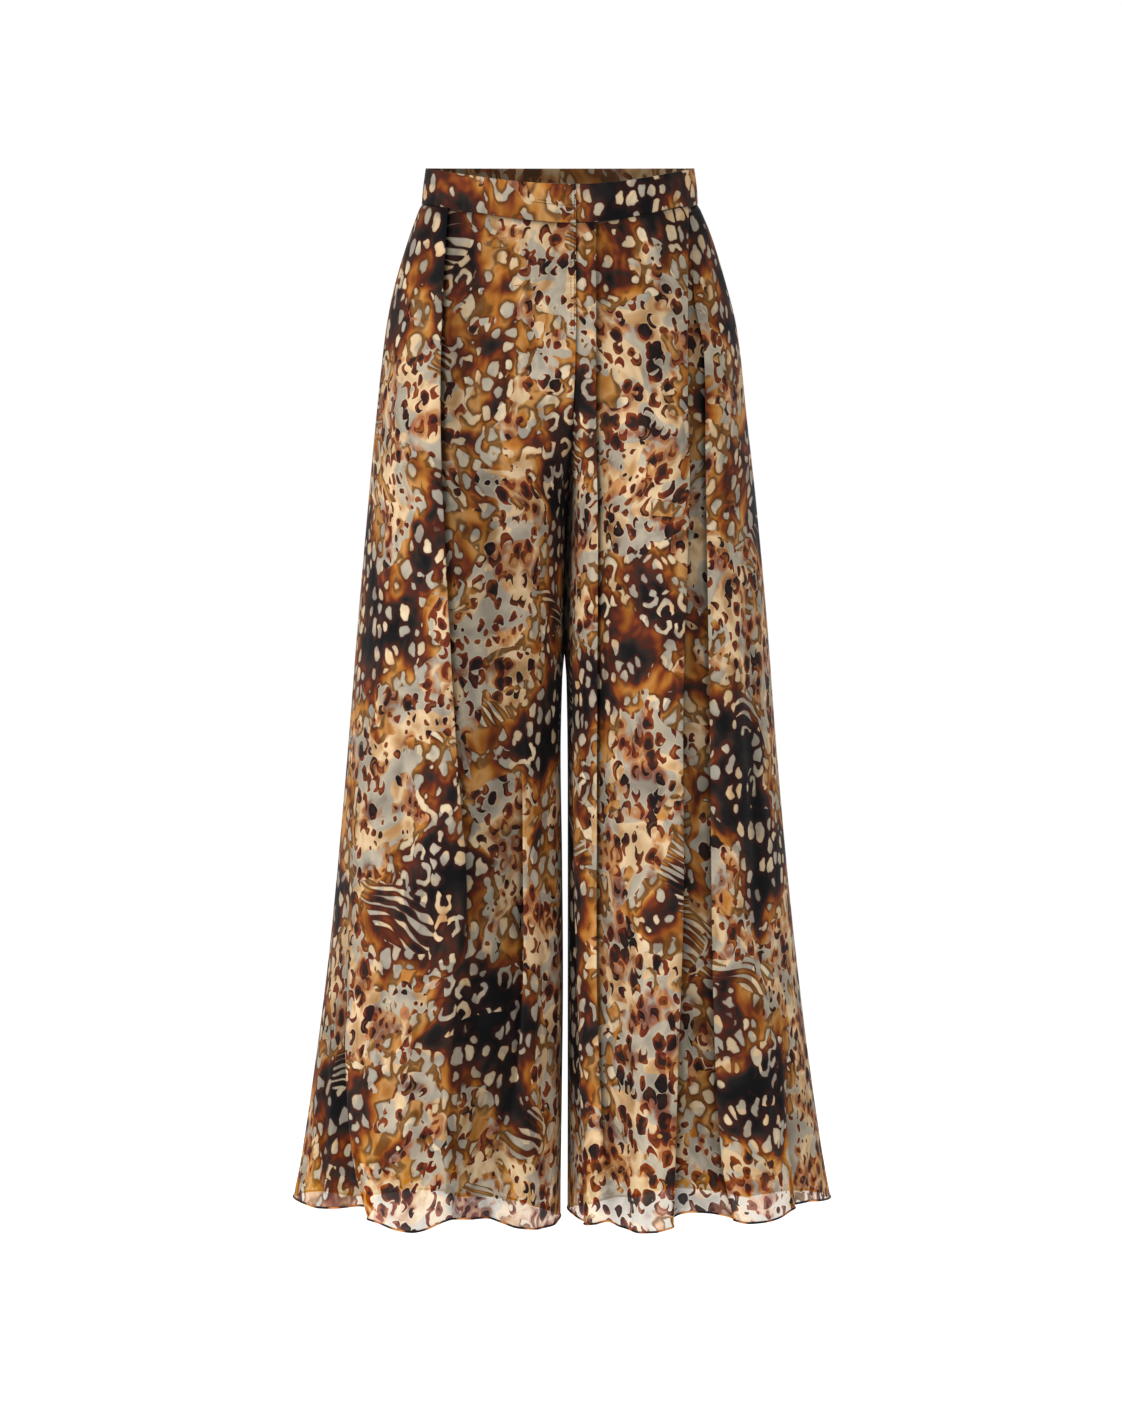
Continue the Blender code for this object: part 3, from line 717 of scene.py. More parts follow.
Mark = namedtuple("Mark", "z x height turn overlap")
Fold = namedtuple("Fold", "panel raised reach marks")
FOLDS = (
    Fold("front_right", OUTER, 0.034, (
        Mark(-0.018, -0.1110, 0.0032, 0.0060, 0.0080),
        Mark(-0.108, -0.1160, 0.0048, 0.0065, 0.0080),
        Mark(-0.227, -0.1180, 0.0070, 0.0070, 0.0070),
        Mark(-0.367, -0.1130, 0.0068, 0.0075, 0.0060),
        Mark(-0.551, -0.1030, 0.0062, 0.0080, 0.0050),
        Mark(-0.690, -0.0925, 0.0060, 0.0090, 0.0040),
        Mark(-0.760, -0.0970, 0.0030, 0.0100, 0.0000),
        Mark(-0.850, -0.1060, 0.0045, 0.0110, 0.0000),
        Mark(-1.011, -0.1070, 0.0060, 0.0130, 0.0000),
    )),
    Fold("front_right", INNER, 0.036, (
        Mark(-0.018, -0.1310, 0.0000, 0.0060, 0.0000),
        Mark(-0.260, -0.1720, 0.0000, 0.0080, 0.0000),
        Mark(-0.620, -0.2050, 0.0010, 0.0110, 0.0000),
        Mark(-0.780, -0.2120, 0.0035, 0.0110, 0.0000),
        Mark(-0.860, -0.2130, 0.0060, 0.0110, 0.0020),
        Mark(-0.950, -0.2060, 0.0085, 0.0110, 0.0030),
        Mark(-1.011, -0.1910, 0.0095, 0.0110, 0.0030),
    )),
    Fold("front_right", INNER, 0.052, (
        Mark(-0.018, -0.0200, 0.0000, 0.0060, 0.0000),
        Mark(-0.260, -0.0300, 0.0000, 0.0080, 0.0000),
        Mark(-0.540, -0.0370, 0.0015, 0.0090, 0.0000),
        Mark(-0.655, -0.0375, 0.0050, 0.0090, 0.0040),
        Mark(-0.780, -0.0375, 0.0070, 0.0100, 0.0040),
        Mark(-0.900, -0.0460, 0.0070, 0.0120, 0.0010),
        Mark(-1.011, -0.0615, 0.0075, 0.0140, 0.0000),
    )),
    Fold("front_left", OUTER, 0.018, (
        Mark(-0.018, 0.0220, 0.0000, 0.0035, 0.0000),
        Mark(-0.315, 0.0170, 0.0000, 0.0040, 0.0000),
        Mark(-0.450, 0.0130, 0.0004, 0.0045, 0.0000),
        Mark(-0.560, 0.0132, 0.0018, 0.0050, 0.0010),
        Mark(-0.700, 0.0168, 0.0030, 0.0060, 0.0025),
        Mark(-0.800, 0.0210, 0.0036, 0.0065, 0.0030),
        Mark(-0.900, 0.0245, 0.0042, 0.0070, 0.0030),
        Mark(-1.011, 0.0280, 0.0048, 0.0080, 0.0025),
    )),
    Fold("front_left", INNER, 0.022, (
        Mark(-0.018, 0.0358, 0.0030, 0.0050, 0.0060),
        Mark(-0.220, 0.0362, 0.0040, 0.0055, 0.0060),
        Mark(-0.330, 0.0385, 0.0040, 0.0058, 0.0055),
        Mark(-0.500, 0.0380, 0.0040, 0.0060, 0.0050),
        Mark(-0.600, 0.0375, 0.0040, 0.0065, 0.0040),
        Mark(-0.800, 0.0390, 0.0045, 0.0070, 0.0030),
        Mark(-1.011, 0.0500, 0.0060, 0.0090, 0.0000),
    )),
    Fold("front_left", INNER, 0.036, (
        Mark(-0.018, 0.1275, 0.0028, 0.0060, 0.0070),
        Mark(-0.110, 0.1272, 0.0040, 0.0070, 0.0090),
        Mark(-0.210, 0.1270, 0.0050, 0.0070, 0.0090),
        Mark(-0.280, 0.1290, 0.0055, 0.0070, 0.0090),
        Mark(-0.410, 0.1255, 0.0065, 0.0070, 0.0080),
        Mark(-0.510, 0.1225, 0.0068, 0.0075, 0.0070),
        Mark(-0.700, 0.1230, 0.0070, 0.0080, 0.0070),
        Mark(-0.865, 0.1175, 0.0085, 0.0090, 0.0050),
        Mark(-1.011, 0.1135, 0.0100, 0.0105, 0.0035),
    )),
    Fold("front_left", OUTER, 0.022, (
        Mark(-0.018, 0.1330, 0.0000, 0.0040, 0.0000),
        Mark(-0.110, 0.1355, 0.0015, 0.0060, 0.0020),
        Mark(-0.155, 0.1440, 0.0030, 0.0070, 0.0050),
        Mark(-0.255, 0.1458, 0.0040, 0.0070, 0.0070),
        Mark(-0.410, 0.1480, 0.0050, 0.0070, 0.0070),
        Mark(-0.566, 0.1500, 0.0060, 0.0075, 0.0070),
        Mark(-0.805, 0.1530, 0.0065, 0.0080, 0.0060),
        Mark(-0.953, 0.1610, 0.0070, 0.0090, 0.0040),
        Mark(-1.011, 0.1725, 0.0070, 0.0100, 0.0025),
    )),
    Fold("front_left", INNER, 0.022, (
        Mark(-0.018, 0.1370, 0.0000, 0.0040, 0.0000),
        Mark(-0.260, 0.1750, 0.0000, 0.0060, 0.0000),
        Mark(-0.620, 0.2050, 0.0000, 0.0080, 0.0000),
        Mark(-0.850, 0.2220, 0.0010, 0.0090, 0.0000),
        Mark(-0.930, 0.2265, 0.0035, 0.0090, 0.0010),
        Mark(-1.011, 0.2335, 0.0065, 0.0095, 0.0020),
    )),
    Fold("back_right", OUTER, 0.036, (
        Mark(-0.018, -0.0550, 0.0025, 0.0060, 0.0060),
        Mark(-0.160, -0.0650, 0.0030, 0.0065, 0.0060),
        Mark(-0.330, -0.0820, 0.0020, 0.0070, 0.0010),
        Mark(-0.560, -0.0930, 0.0055, 0.0080, 0.0040),
        Mark(-0.800, -0.1000, 0.0075, 0.0100, 0.0040),
        Mark(-1.011, -0.1120, 0.0090, 0.0120, 0.0030),
    )),
    Fold("back_right", INNER, 0.034, (
        Mark(-0.018, -0.1100, 0.0000, 0.0060, 0.0000),
        Mark(-0.260, -0.1450, 0.0000, 0.0080, 0.0000),
        Mark(-0.520, -0.1650, 0.0015, 0.0100, 0.0000),
        Mark(-0.700, -0.1790, 0.0050, 0.0110, 0.0030),
        Mark(-0.860, -0.1900, 0.0070, 0.0110, 0.0020),
        Mark(-1.011, -0.2050, 0.0090, 0.0120, 0.0000),
    )),
    Fold("back_left", INNER, 0.036, (
        Mark(-0.018, 0.0600, 0.0025, 0.0060, 0.0060),
        Mark(-0.190, 0.0730, 0.0030, 0.0065, 0.0060),
        Mark(-0.380, 0.0830, 0.0035, 0.0070, 0.0040),
        Mark(-0.620, 0.0880, 0.0060, 0.0080, 0.0040),
        Mark(-0.830, 0.0860, 0.0075, 0.0100, 0.0030),
        Mark(-1.011, 0.0810, 0.0085, 0.0120, 0.0020),
    )),
    Fold("back_left", OUTER, 0.034, (
        Mark(-0.018, 0.1150, 0.0000, 0.0060, 0.0000),
        Mark(-0.260, 0.1500, 0.0000, 0.0080, 0.0000),
        Mark(-0.480, 0.1620, 0.0015, 0.0090, 0.0000),
        Mark(-0.650, 0.1690, 0.0045, 0.0100, 0.0030),
        Mark(-0.850, 0.1780, 0.0075, 0.0110, 0.0030),
        Mark(-1.011, 0.1900, 0.0095, 0.0120, 0.0030),
    )),
)
print("folds:", len(FOLDS))

# %% [markdown]
# Between the folds the cloth has soft creases, each a low ridge or a shallow trough with its
# own length and depth. They are what tells thin cloth from a lamp shade, so none repeats.

# %% Table of creases
Crease = namedtuple("Crease", "top bottom x_top x_bottom width height")
CREASES = {
    "front_right": (
        Crease(-0.022, -0.190, -0.0350, -0.0260, 0.0028, -0.0024),
        Crease(-0.022, -0.190, -0.0405, -0.0315, 0.0035, 0.0018),
        Crease(-0.022, -0.150, -0.0150, -0.0130, 0.0050, 0.0016),
        Crease(-0.022, -0.090, -0.0050, -0.0045, 0.0024, -0.0014),
        Crease(-0.022, -0.120, -0.0620, -0.0680, 0.0050, -0.0012),
        Crease(-0.030, -0.230, -0.0850, -0.0900, 0.0070, -0.0014),
        Crease(-0.200, -0.560, -0.0700, -0.0620, 0.0130, -0.0030),
        Crease(-0.330, -0.760, -0.1500, -0.1640, 0.0140, -0.0035),
        Crease(-0.470, -1.030, -0.0150, -0.0210, 0.0120, -0.0041),
        Crease(-0.640, -1.040, -0.1490, -0.1480, 0.0110, 0.0046),
        Crease(-0.700, -1.040, -0.1720, -0.1700, 0.0100, -0.0035),
        Crease(-0.700, -1.040, -0.0760, -0.0810, 0.0110, -0.0041),
        Crease(-0.100, -0.700, -0.1480, -0.1950, 0.0120, 0.0016),
        Crease(-0.800, -1.040, -0.2330, -0.2420, 0.0090, -0.0027),
    ),
    "front_left": (
        Crease(-0.022, -0.240, 0.0310, 0.0310, 0.0040, 0.0014),
        Crease(-0.022, -0.240, 0.0262, 0.0262, 0.0024, -0.0018),
        Crease(-0.022, -0.150, 0.0500, 0.0510, 0.0030, -0.0018),
        Crease(-0.022, -0.150, 0.0560, 0.0570, 0.0040, 0.0016),
        Crease(-0.022, -0.180, 0.0800, 0.0860, 0.0060, -0.0014),
        Crease(-0.022, -0.120, 0.1020, 0.1080, 0.0050, 0.0012),
        Crease(-0.240, -0.700, 0.0720, 0.0700, 0.0140, -0.0032),
        Crease(-0.500, -1.040, 0.0930, 0.0880, 0.0130, 0.0041),
        Crease(-0.660, -1.040, 0.0640, 0.0660, 0.0110, -0.0043),
        Crease(-0.300, -0.820, 0.1820, 0.2030, 0.0120, -0.0030),
        Crease(-0.720, -1.040, 0.1950, 0.2060, 0.0100, 0.0041),
        Crease(-0.800, -1.040, 0.2440, 0.2540, 0.0080, -0.0018),
    ),
    "back_right": (
        Crease(-0.022, -0.160, -0.0200, -0.0210, 0.0050, 0.0013),
        Crease(-0.022, -0.210, -0.0360, -0.0420, 0.0060, -0.0014),
        Crease(-0.022, -0.150, -0.0800, -0.0860, 0.0050, 0.0014),
        Crease(-0.022, -0.200, -0.1000, -0.1100, 0.0060, -0.0012),
        Crease(-0.330, -0.900, -0.0400, -0.0500, 0.0140, -0.0041),
        Crease(-0.420, -1.040, -0.1300, -0.1420, 0.0130, -0.0041),
        Crease(-0.560, -1.040, -0.0700, -0.0820, 0.0110, 0.0038),
        Crease(-0.640, -1.040, -0.2160, -0.2350, 0.0100, 0.0035),
        Crease(-0.600, -1.040, -0.0200, -0.0260, 0.0090, -0.0035),
    ),
    "back_left": (
        Crease(-0.022, -0.170, 0.0180, 0.0200, 0.0050, -0.0013),
        Crease(-0.022, -0.200, 0.0400, 0.0440, 0.0055, 0.0014),
        Crease(-0.022, -0.140, 0.0840, 0.0880, 0.0050, -0.0012),
        Crease(-0.022, -0.190, 0.1050, 0.1150, 0.0060, 0.0013),
        Crease(-0.360, -0.950, 0.0420, 0.0400, 0.0140, -0.0041),
        Crease(-0.500, -1.040, 0.1220, 0.1280, 0.0130, -0.0043),
        Crease(-0.620, -1.040, 0.1500, 0.1560, 0.0100, 0.0035),
        Crease(-0.680, -1.040, 0.2150, 0.2300, 0.0100, -0.0035),
        Crease(-0.640, -1.040, 0.0210, 0.0240, 0.0090, -0.0032),
    ),
}
print("creases:", sum(len(creases) for creases in CREASES.values()))

# %% From a fold's marks to its cloth
SOFT_OVERLAP = 0.0015  # with less overlap than this a fold is only a soft step
FOLD_CREST = 0.8  # where the raised side is highest, as a share of its reach
FOLD_SINK = 0.8  # how deep the lower layer lies, as a share of the fold's height
MOST_TURNED = 2.5  # the largest b that any fold could need


def turn_back(overlap_share):
    """b in p = w (s - b sin(pi s)), for an overlap that is given as a share of w."""
    b = np.linspace(1 / math.pi, MOST_TURNED, 400)
    turns_at = np.arccos(1 / (math.pi * b)) / math.pi
    overlap = 2 * (b * np.sin(math.pi * turns_at) - turns_at)
    return np.interp(overlap_share, overlap, b)


class FoldCourse:
    """A fold's values on every row of its panel."""

    def __init__(self, fold, ellipses, z):
        self.raised, self.reach = fold.raised, fold.reach
        self.height = np.maximum(read_rows(fold.marks, "height", z), 0.0)
        self.turn = read_rows(fold.marks, "turn", z)
        self.overlap = overlap = np.maximum(read_rows(fold.marks, "overlap", z), 0.0)
        self.line = ellipses.angle_at(read_rows(fold.marks, "x", z))
        self.speed = ellipses.speed(self.line)
        self.back = turn_back(overlap / self.turn) * smooth_step(0.0, SOFT_OVERLAP, overlap)
        self.middle = self.line + fold.raised * overlap / 2 / self.speed
        self.half = self.turn / self.speed

    def angles(self, steps):
        """The angles of the cloth in the turn, for steps from -1 to 1 across the panel."""
        s = self.raised * steps[None, :]
        p = self.turn[:, None] * (s - self.back[:, None] * np.sin(math.pi * s))
        return self.middle[:, None] + self.raised * p / self.speed[:, None]

    def on_top(self, turns):
        """0 in the lower layer and 1 in the upper one. turns runs from -0.5 to 0.5 in this turn."""
        return smooth_step(-0.5, 0.5, turns * self.raised)[None, :]

    def lift(self, angle, top):
        """How far the fold stands the cloth off. top is 0 below the edge and 1 above it."""
        away = (angle - self.line[:, None]) * self.speed[:, None] * self.raised / self.reach
        crest = bell(away - FOLD_CREST, 1.0)
        sink = -FOLD_SINK * bell(away, 1.0)
        return self.height[:, None] * (top * crest + (1.0 - top) * sink)


# %% [markdown]
# ## Placing a panel's cloth
#
# The columns of the grid are shared out between the plain stretches and the turns of the
# folds, with more columns where the cloth turns. Then the folds and creases lift the cloth
# off its ellipse, and the hem hangs lower wherever the cloth stands out.

# %% Columns of a leg panel
PANEL_ROWS = 220
PANEL_COLUMNS = 222
TURN_COLUMNS = 18

Panel = namedtuple("Panel", "name side facing print_at")
PANELS = (
    Panel("front_right", -1, -1, (-0.730, -1.150)),
    Panel("front_left", 1, -1, (1.339, -1.204)),
    Panel("back_right", -1, 1, (1.476, -0.084)),
    Panel("back_left", 1, 1, (2.312, -0.075)),
)


def column_angles(folds, ellipses):
    """The angle of every column on every row, and how many turns lie before it, less a half."""
    plain = PANEL_COLUMNS - TURN_COLUMNS * len(folds)
    edges = [0.0 * ellipses.end]
    for fold in folds:
        edges += [fold.middle - fold.half, fold.middle + fold.half]
    edges.append(ellipses.end)
    stretches = [edges[2 * i + 1] - edges[2 * i] for i in range(len(folds) + 1)]
    lengths = np.array([stretch[0] + stretch[-1] for stretch in stretches])  # at waist and hem
    counts = np.maximum(2, np.round(plain * lengths / lengths.sum())).astype(int)
    counts[np.argmax(counts)] += plain - counts.sum()

    blocks, turns = [], []
    for i, count in enumerate(counts):
        share = np.linspace(0.0, 1.0, count, endpoint=False)
        first, last = edges[2 * i][:, None], edges[2 * i + 1][:, None]
        blocks.append(first + (last - first) * share)
        turns.append(np.full(count, i - 0.5))
        if i < len(folds):
            steps = np.linspace(-1.0, 1.0, TURN_COLUMNS, endpoint=False)
            blocks.append(folds[i].angles(steps))
            turns.append(i + steps / 2)
    blocks.append(ellipses.end[:, None])
    turns.append(np.array([len(folds) - 0.5]))
    return np.hstack(blocks), np.hstack(turns)


# %% Lift of creases and folds
CREASE_FADE = 0.35  # share of a crease's length over which it dies out at each end
WAIST_CREASE_RISES = (-0.02, 0.06)  # a crease that starts in the waist seam is soon at its full height
WAIST_CREASE_FADE = 0.7  # and takes longer to die out
PLAIN_AT_SEAM = 0.05  # share of a panel's width over which they flatten out to each seam


def crease_lift(panel, z, ellipses, angle):
    """How far the creases alone stand each point off its ellipse."""
    lift = np.zeros_like(angle)
    for crease in CREASES[panel.name]:
        share = (z - crease.top) / (crease.bottom - crease.top)
        x = crease.x_top + (crease.x_bottom - crease.x_top) * np.clip(share, 0.0, 1.0)
        line = ellipses.angle_at(x)
        away = (angle - line[:, None]) * ellipses.speed(line)[:, None]
        there = smooth_step(0.0, CREASE_FADE, share) * smooth_step(0.0, CREASE_FADE, 1.0 - share)
        if crease.top > RISE_STARTS:  # it starts in the waist seam
            dies_out = smooth_step(0.0, WAIST_CREASE_FADE, 1.0 - share)
            there = smooth_step(*WAIST_CREASE_RISES, share) * dies_out
        if crease.bottom < HEM:  # it runs out over the hem
            there = smooth_step(0.0, CREASE_FADE, share)
        lift += crease.height * there[:, None] * bell(away, crease.width)
    return lift


def folded_lift(panel, z, ellipses, folds, angle, turns):
    """How far creases and folds stand each point off its ellipse."""
    lift = crease_lift(panel, z, ellipses, angle)
    for i, fold in enumerate(folds):
        lift += fold.lift(angle, fold.on_top(turns - i))
    share = angle / ellipses.end[:, None]
    return lift * (smooth_step(0.0, PLAIN_AT_SEAM, share) * smooth_step(0.0, PLAIN_AT_SEAM, 1.0 - share))


# %% Edges of a leg panel
EDGE_ROLL = 0.0022  # how near a seam the cloth bends in to it
EDGE_DIP = 0.0009  # and how far it bends
FLY_STEP = 0.0011  # the right front's edge stands out so far, and the left one's lies in
FLY_ROLL = 0.006
FLY_FADES = (-0.34, -0.26)  # below the first the fronts meet in a plain seam
TOP_TUCK = 0.0012  # how far the top edge is drawn in under the band
TOP_ROLL = 0.003


def bent_in(panel, z, from_side, from_middle, lift):
    """The lift with the panel's edges bent in, and how far in the middle one is."""
    lift = lift - EDGE_DIP * bell(from_side, EDGE_ROLL)
    fly = smooth_step(*FLY_FADES, z)[:, None] if panel.facing < 0 else 0.0
    middle_dip = EDGE_DIP * bell(from_middle, EDGE_ROLL) * (1.0 - fly)
    lift -= middle_dip
    lift -= panel.side * FLY_STEP * fly * bell(from_middle, FLY_ROLL)
    lift -= TOP_TUCK * bell(z - WAIST_SEAM, TOP_ROLL)[:, None]
    return lift, middle_dip


LEGS_APART = 0.0006  # what is kept free between each leg and the middle
PARTED_BELOW = 0.12  # below the crotch, how soon the legs are kept apart in full
SHUT_BELOW = 0.02  # and how far the seam at the crotch is kept shut
PAST_MIDDLE = 0.05  # how far a panel may go past its seam above the crotch, more than it does
LEAN = 0.0024  # how far one leg bulges into the other below the crotch, so no light comes through
LEAN_AT = 0.011  # how far from the middle, along the cloth, it bulges most
LEAN_WIDTH = 0.006
LEAN_STARTS = -0.27  # from here it grows down to the crotch
LEAN_FADES = (-0.50, -0.45)  # and below the first of these it is gone


def apart(panel, z, ellipses, angle, from_middle, lift, middle_dip):
    """x and y of the panel's points, with the legs kept from running through each other."""
    lean = LEAN * smooth_step(LEAN_STARTS, CROTCH, z) * smooth_step(*LEAN_FADES, z)
    lean = -panel.side * panel.facing * lean[:, None] * bell(from_middle - LEAN_AT, LEAN_WIDTH)
    _, y = ellipses.places(angle, lift + lean)
    kept_shut = middle_dip * smooth_step(CROTCH - SHUT_BELOW, CROTCH, z)[:, None]
    x, _ = ellipses.places(angle, lift + lean + kept_shut)
    below = smooth_step(CROTCH, CROTCH - PARTED_BELOW, z)[:, None]
    nearest = (LEGS_APART - lean) * below - PAST_MIDDLE * (1.0 - below)
    middle = ellipses.middle[:, None]
    return middle + panel.side * np.maximum(panel.side * (x - middle), nearest), y


# %% [markdown]
# The shade is worked out from the same folds. It is deepest just under a fold's edge and fades
# away from it. A trough has some of it too, and so has the inside of the legs, where each
# keeps the light from the other. The sums only need to look right, so they are short.

# %% Shade
UNDER_FOLD_SHADE = 0.80
SHADE_REACH = 0.0085
FULL_SHADE_AT = 0.004  # the height of a fold or the depth of a trough that has its full shade
TROUGH_SHADE = 0.48
EDGE_LIGHT = 0.26  # a fold's edge catches the light, so there the shade is below 0
EDGE_LIGHT_REACH = 0.0013
SHARP_OVERLAP = 0.003  # an edge with less overlap is too soft to catch all of it
RIDGE_LIGHT = 0.11  # a ridge catches less
RIDGE_HEIGHT = 0.006


def fold_shade(folds, angle, turns, lift):
    """How much of the room's light the cloth's own folds keep from each point, up to 1."""
    shade = TROUGH_SHADE * np.clip(-lift / FULL_SHADE_AT, 0.0, 1.0)
    for i, fold in enumerate(folds):
        below = 1.0 - fold.on_top(turns - i)
        away = -fold.raised * (angle - fold.line[:, None]) * fold.speed[:, None]
        near = np.exp(-np.clip(away, 0.0, None) / SHADE_REACH)
        strength = np.clip(fold.height / FULL_SHADE_AT, 0.0, 1.0)[:, None]
        shade = np.maximum(shade, UNDER_FOLD_SHADE * strength * below * near)
        sharp = smooth_step(0.0, SHARP_OVERLAP, fold.overlap)[:, None]
        shade -= EDGE_LIGHT * sharp * (1.0 - below) * bell(away, EDGE_LIGHT_REACH)
    return shade - RIDGE_LIGHT * np.clip(lift / RIDGE_HEIGHT, 0.0, 1.0)


BACK_SHADE = 0.3
BACK_SHADE_REACH = 0.010
LEGS_SHADE_STARTS = (-0.16, -0.30)  # above the first there is none, and from the second on it is full
LEGS_PART_FROM = -0.62  # below it the legs spread, and the shade between them fades to the hem
SHADE_LOST_AT_HEM = 0.5
LEFT_LEG_SHADE = (0.0062, 1.0)  # reach and strength
RIGHT_LEG_SHADE = (0.0032, 0.70)


def edge_shade(panel, z, beside):
    """The inside of the legs, where each keeps the light from the other. beside is across."""
    if panel.facing > 0:
        return BACK_SHADE * bell(beside, BACK_SHADE_REACH)
    spread = 1.0 - SHADE_LOST_AT_HEM * smooth_step(LEGS_PART_FROM, HEM, z)
    between = smooth_step(*LEGS_SHADE_STARTS, z)[:, None] * spread[:, None]
    reach, strength = LEFT_LEG_SHADE if panel.side > 0 else RIGHT_LEG_SHADE
    return strength * between * np.exp(-((beside / reach) ** 4))


# %% Points of a leg panel
HEM_SOFTENING = np.array([1, 3, 5, 6, 5, 3, 1]) / 24  # weights of the columns that are averaged


def hem_drop(panel, x):
    """How far each column of a panel hangs below HEM. A few columns are averaged, as cloth is."""
    marks = np.array(HEM_DROPS[panel.name])
    one_way = -panel.side * np.sort(-panel.side * x)  # also where a fold turns back
    drop = np.interp(one_way, marks[:, 0], marks[:, 1])
    wide = np.pad(drop, len(HEM_SOFTENING) // 2, mode="edge")
    return np.convolve(wide, HEM_SOFTENING, mode="valid")


def seam_dip(facing, share):
    """How far the waist seam dips at a share of the way from the side to the middle."""
    rise = np.sin(share * math.pi / 2)
    return FRONT_SEAM_DIP * rise**4 if facing < 0 else BACK_DIP * rise


def along_rows(points):
    """How far each point is along its row, in metres of cloth."""
    steps = np.linalg.norm(np.diff(points, axis=1), axis=2)
    return np.hstack([np.zeros((len(points), 1)), np.cumsum(steps, axis=1)])


def along_path(path):
    """The same for a single row of points."""
    return along_rows(path[None])[0]


def leg_points(panel):
    """A leg panel's outer face: its grid of points, each row's height above HEM, and the shade."""
    z = np.linspace(WAIST_SEAM - SEAM_GAP, HEM, PANEL_ROWS + 1)
    ellipses = Ellipses(panel.side, panel.facing, z)
    folds = [FoldCourse(f, ellipses, z) for f in FOLDS if f.panel == panel.name]
    folds.sort(key=lambda fold: fold.line[-1])
    angle, turns = column_angles(folds, ellipses)
    from_side = angle * ellipses.speed(0.0 * z)[:, None]
    from_middle = (ellipses.end[:, None] - angle) * ellipses.speed(ellipses.end)[:, None]

    lift = folded_lift(panel, z, ellipses, folds, angle, turns)
    lift, middle_dip = bent_in(panel, z, from_side, from_middle, lift)
    x, y = apart(panel, z, ellipses, angle, from_middle, lift, middle_dip)
    above_crotch = 1.0 - smooth_step(WAIST_SEAM, CROTCH, z)
    below_crotch = smooth_step(CROTCH, HEM, z) ** 2
    dip = seam_dip(panel.facing, angle / ellipses.end[:, None]) * above_crotch[:, None]
    height = z[:, None] - dip - hem_drop(panel, x[-1]) * below_crotch[:, None]

    shade = fold_shade(folds, angle, turns, lift)
    between_legs = edge_shade(panel, z, panel.side * (x - ellipses.middle[:, None]))
    shade += between_legs * (1.0 - shade)
    return np.dstack([x, y, height]), z - HEM, shade


# %% [markdown]
# ## From points to cloth
#
# bmesh's grid gives a flat net of squares. Its corners are moved to their places, which keeps
# the net's order, so UV maps are easy to write: the first has the cut cloth's own metres, and
# the second has them moved to where the piece was cut from the printed length.

# %% A sheet from a grid of points
def as_object(bm, name):
    """Ends a bmesh and puts it into the scene as an object."""
    mesh = bpy.data.meshes.new(name)
    bm.to_mesh(mesh)
    bm.free()
    made = bpy.data.objects.new(name, mesh)
    bpy.context.scene.collection.objects.link(made)
    return made


def grid_object(name, points):
    """A net of squares, its corner in row i and column j at points[i, j]."""
    rows, columns = points.shape[0] - 1, points.shape[1] - 1
    bm = bmesh.new()
    bmesh.ops.create_grid(bm, x_segments=columns, y_segments=rows, size=0.5)
    piece = as_object(bm, name)
    mesh = piece.data
    flat = np.empty(len(mesh.vertices) * 3)
    mesh.vertices.foreach_get("co", flat)
    flat = flat.reshape(-1, 3)
    column = np.round((flat[:, 0] + 0.5) * columns).astype(int)
    row = np.round((0.5 - flat[:, 1]) * rows).astype(int)
    mesh.vertices.foreach_set("co", points[row, column].astype(np.float32).ravel())
    return piece, row, column


def add_uv(mesh, name, per_point):
    """A UV map from a pair for each point."""
    corners = np.empty(len(mesh.loops), dtype=np.int32)
    mesh.loops.foreach_get("vertex_index", corners)
    layer = mesh.uv_layers.new(name=name)
    layer.data.foreach_set("uv", per_point[corners].astype(np.float32).ravel())


def lay_cloth_maps(piece, row, column, across, up, print_at):
    """cut has metres across the piece and up it, and print has them on the printed length."""
    cut = np.column_stack([across[row, column], up[row, column]])
    add_uv(piece.data, "cut", cut)
    add_uv(piece.data, "print", cut + np.array(print_at))


def add_shade(piece, row, column, shade):
    """Gives each point its shade, which the cloth materials read."""
    layer = piece.data.attributes.new("shade", "FLOAT", "POINT")
    layer.data.foreach_set("value", shade[row, column].astype(np.float32))


def shell(piece, thickness):
    """Gives the sheet its thickness, grown inwards, with the next material on the inside."""
    solid = piece.modifiers.new("thickness", "SOLIDIFY")
    solid.thickness = thickness
    solid.offset = -1.0
    solid.use_even_offset = False
    solid.material_offset = 1


# %% Leg panels
def face_out(piece, side, facing):
    """A panel's columns run to the right on one half of the body and to the left on the other."""
    if side * facing < 0:
        piece.data.flip_normals()
    piece.data.shade_smooth()


def flat_area(points):
    """The area of a net of squares, laid flat."""
    across = points[:-1, 1:] - points[:-1, :-1]
    down = points[1:, :-1] - points[:-1, :-1]
    return float(np.linalg.norm(np.cross(across, down), axis=2).sum())


SHEER_MATERIAL = 2  # its place among a leg's materials
Leg = namedtuple("Leg", "piece points hem_width length area")


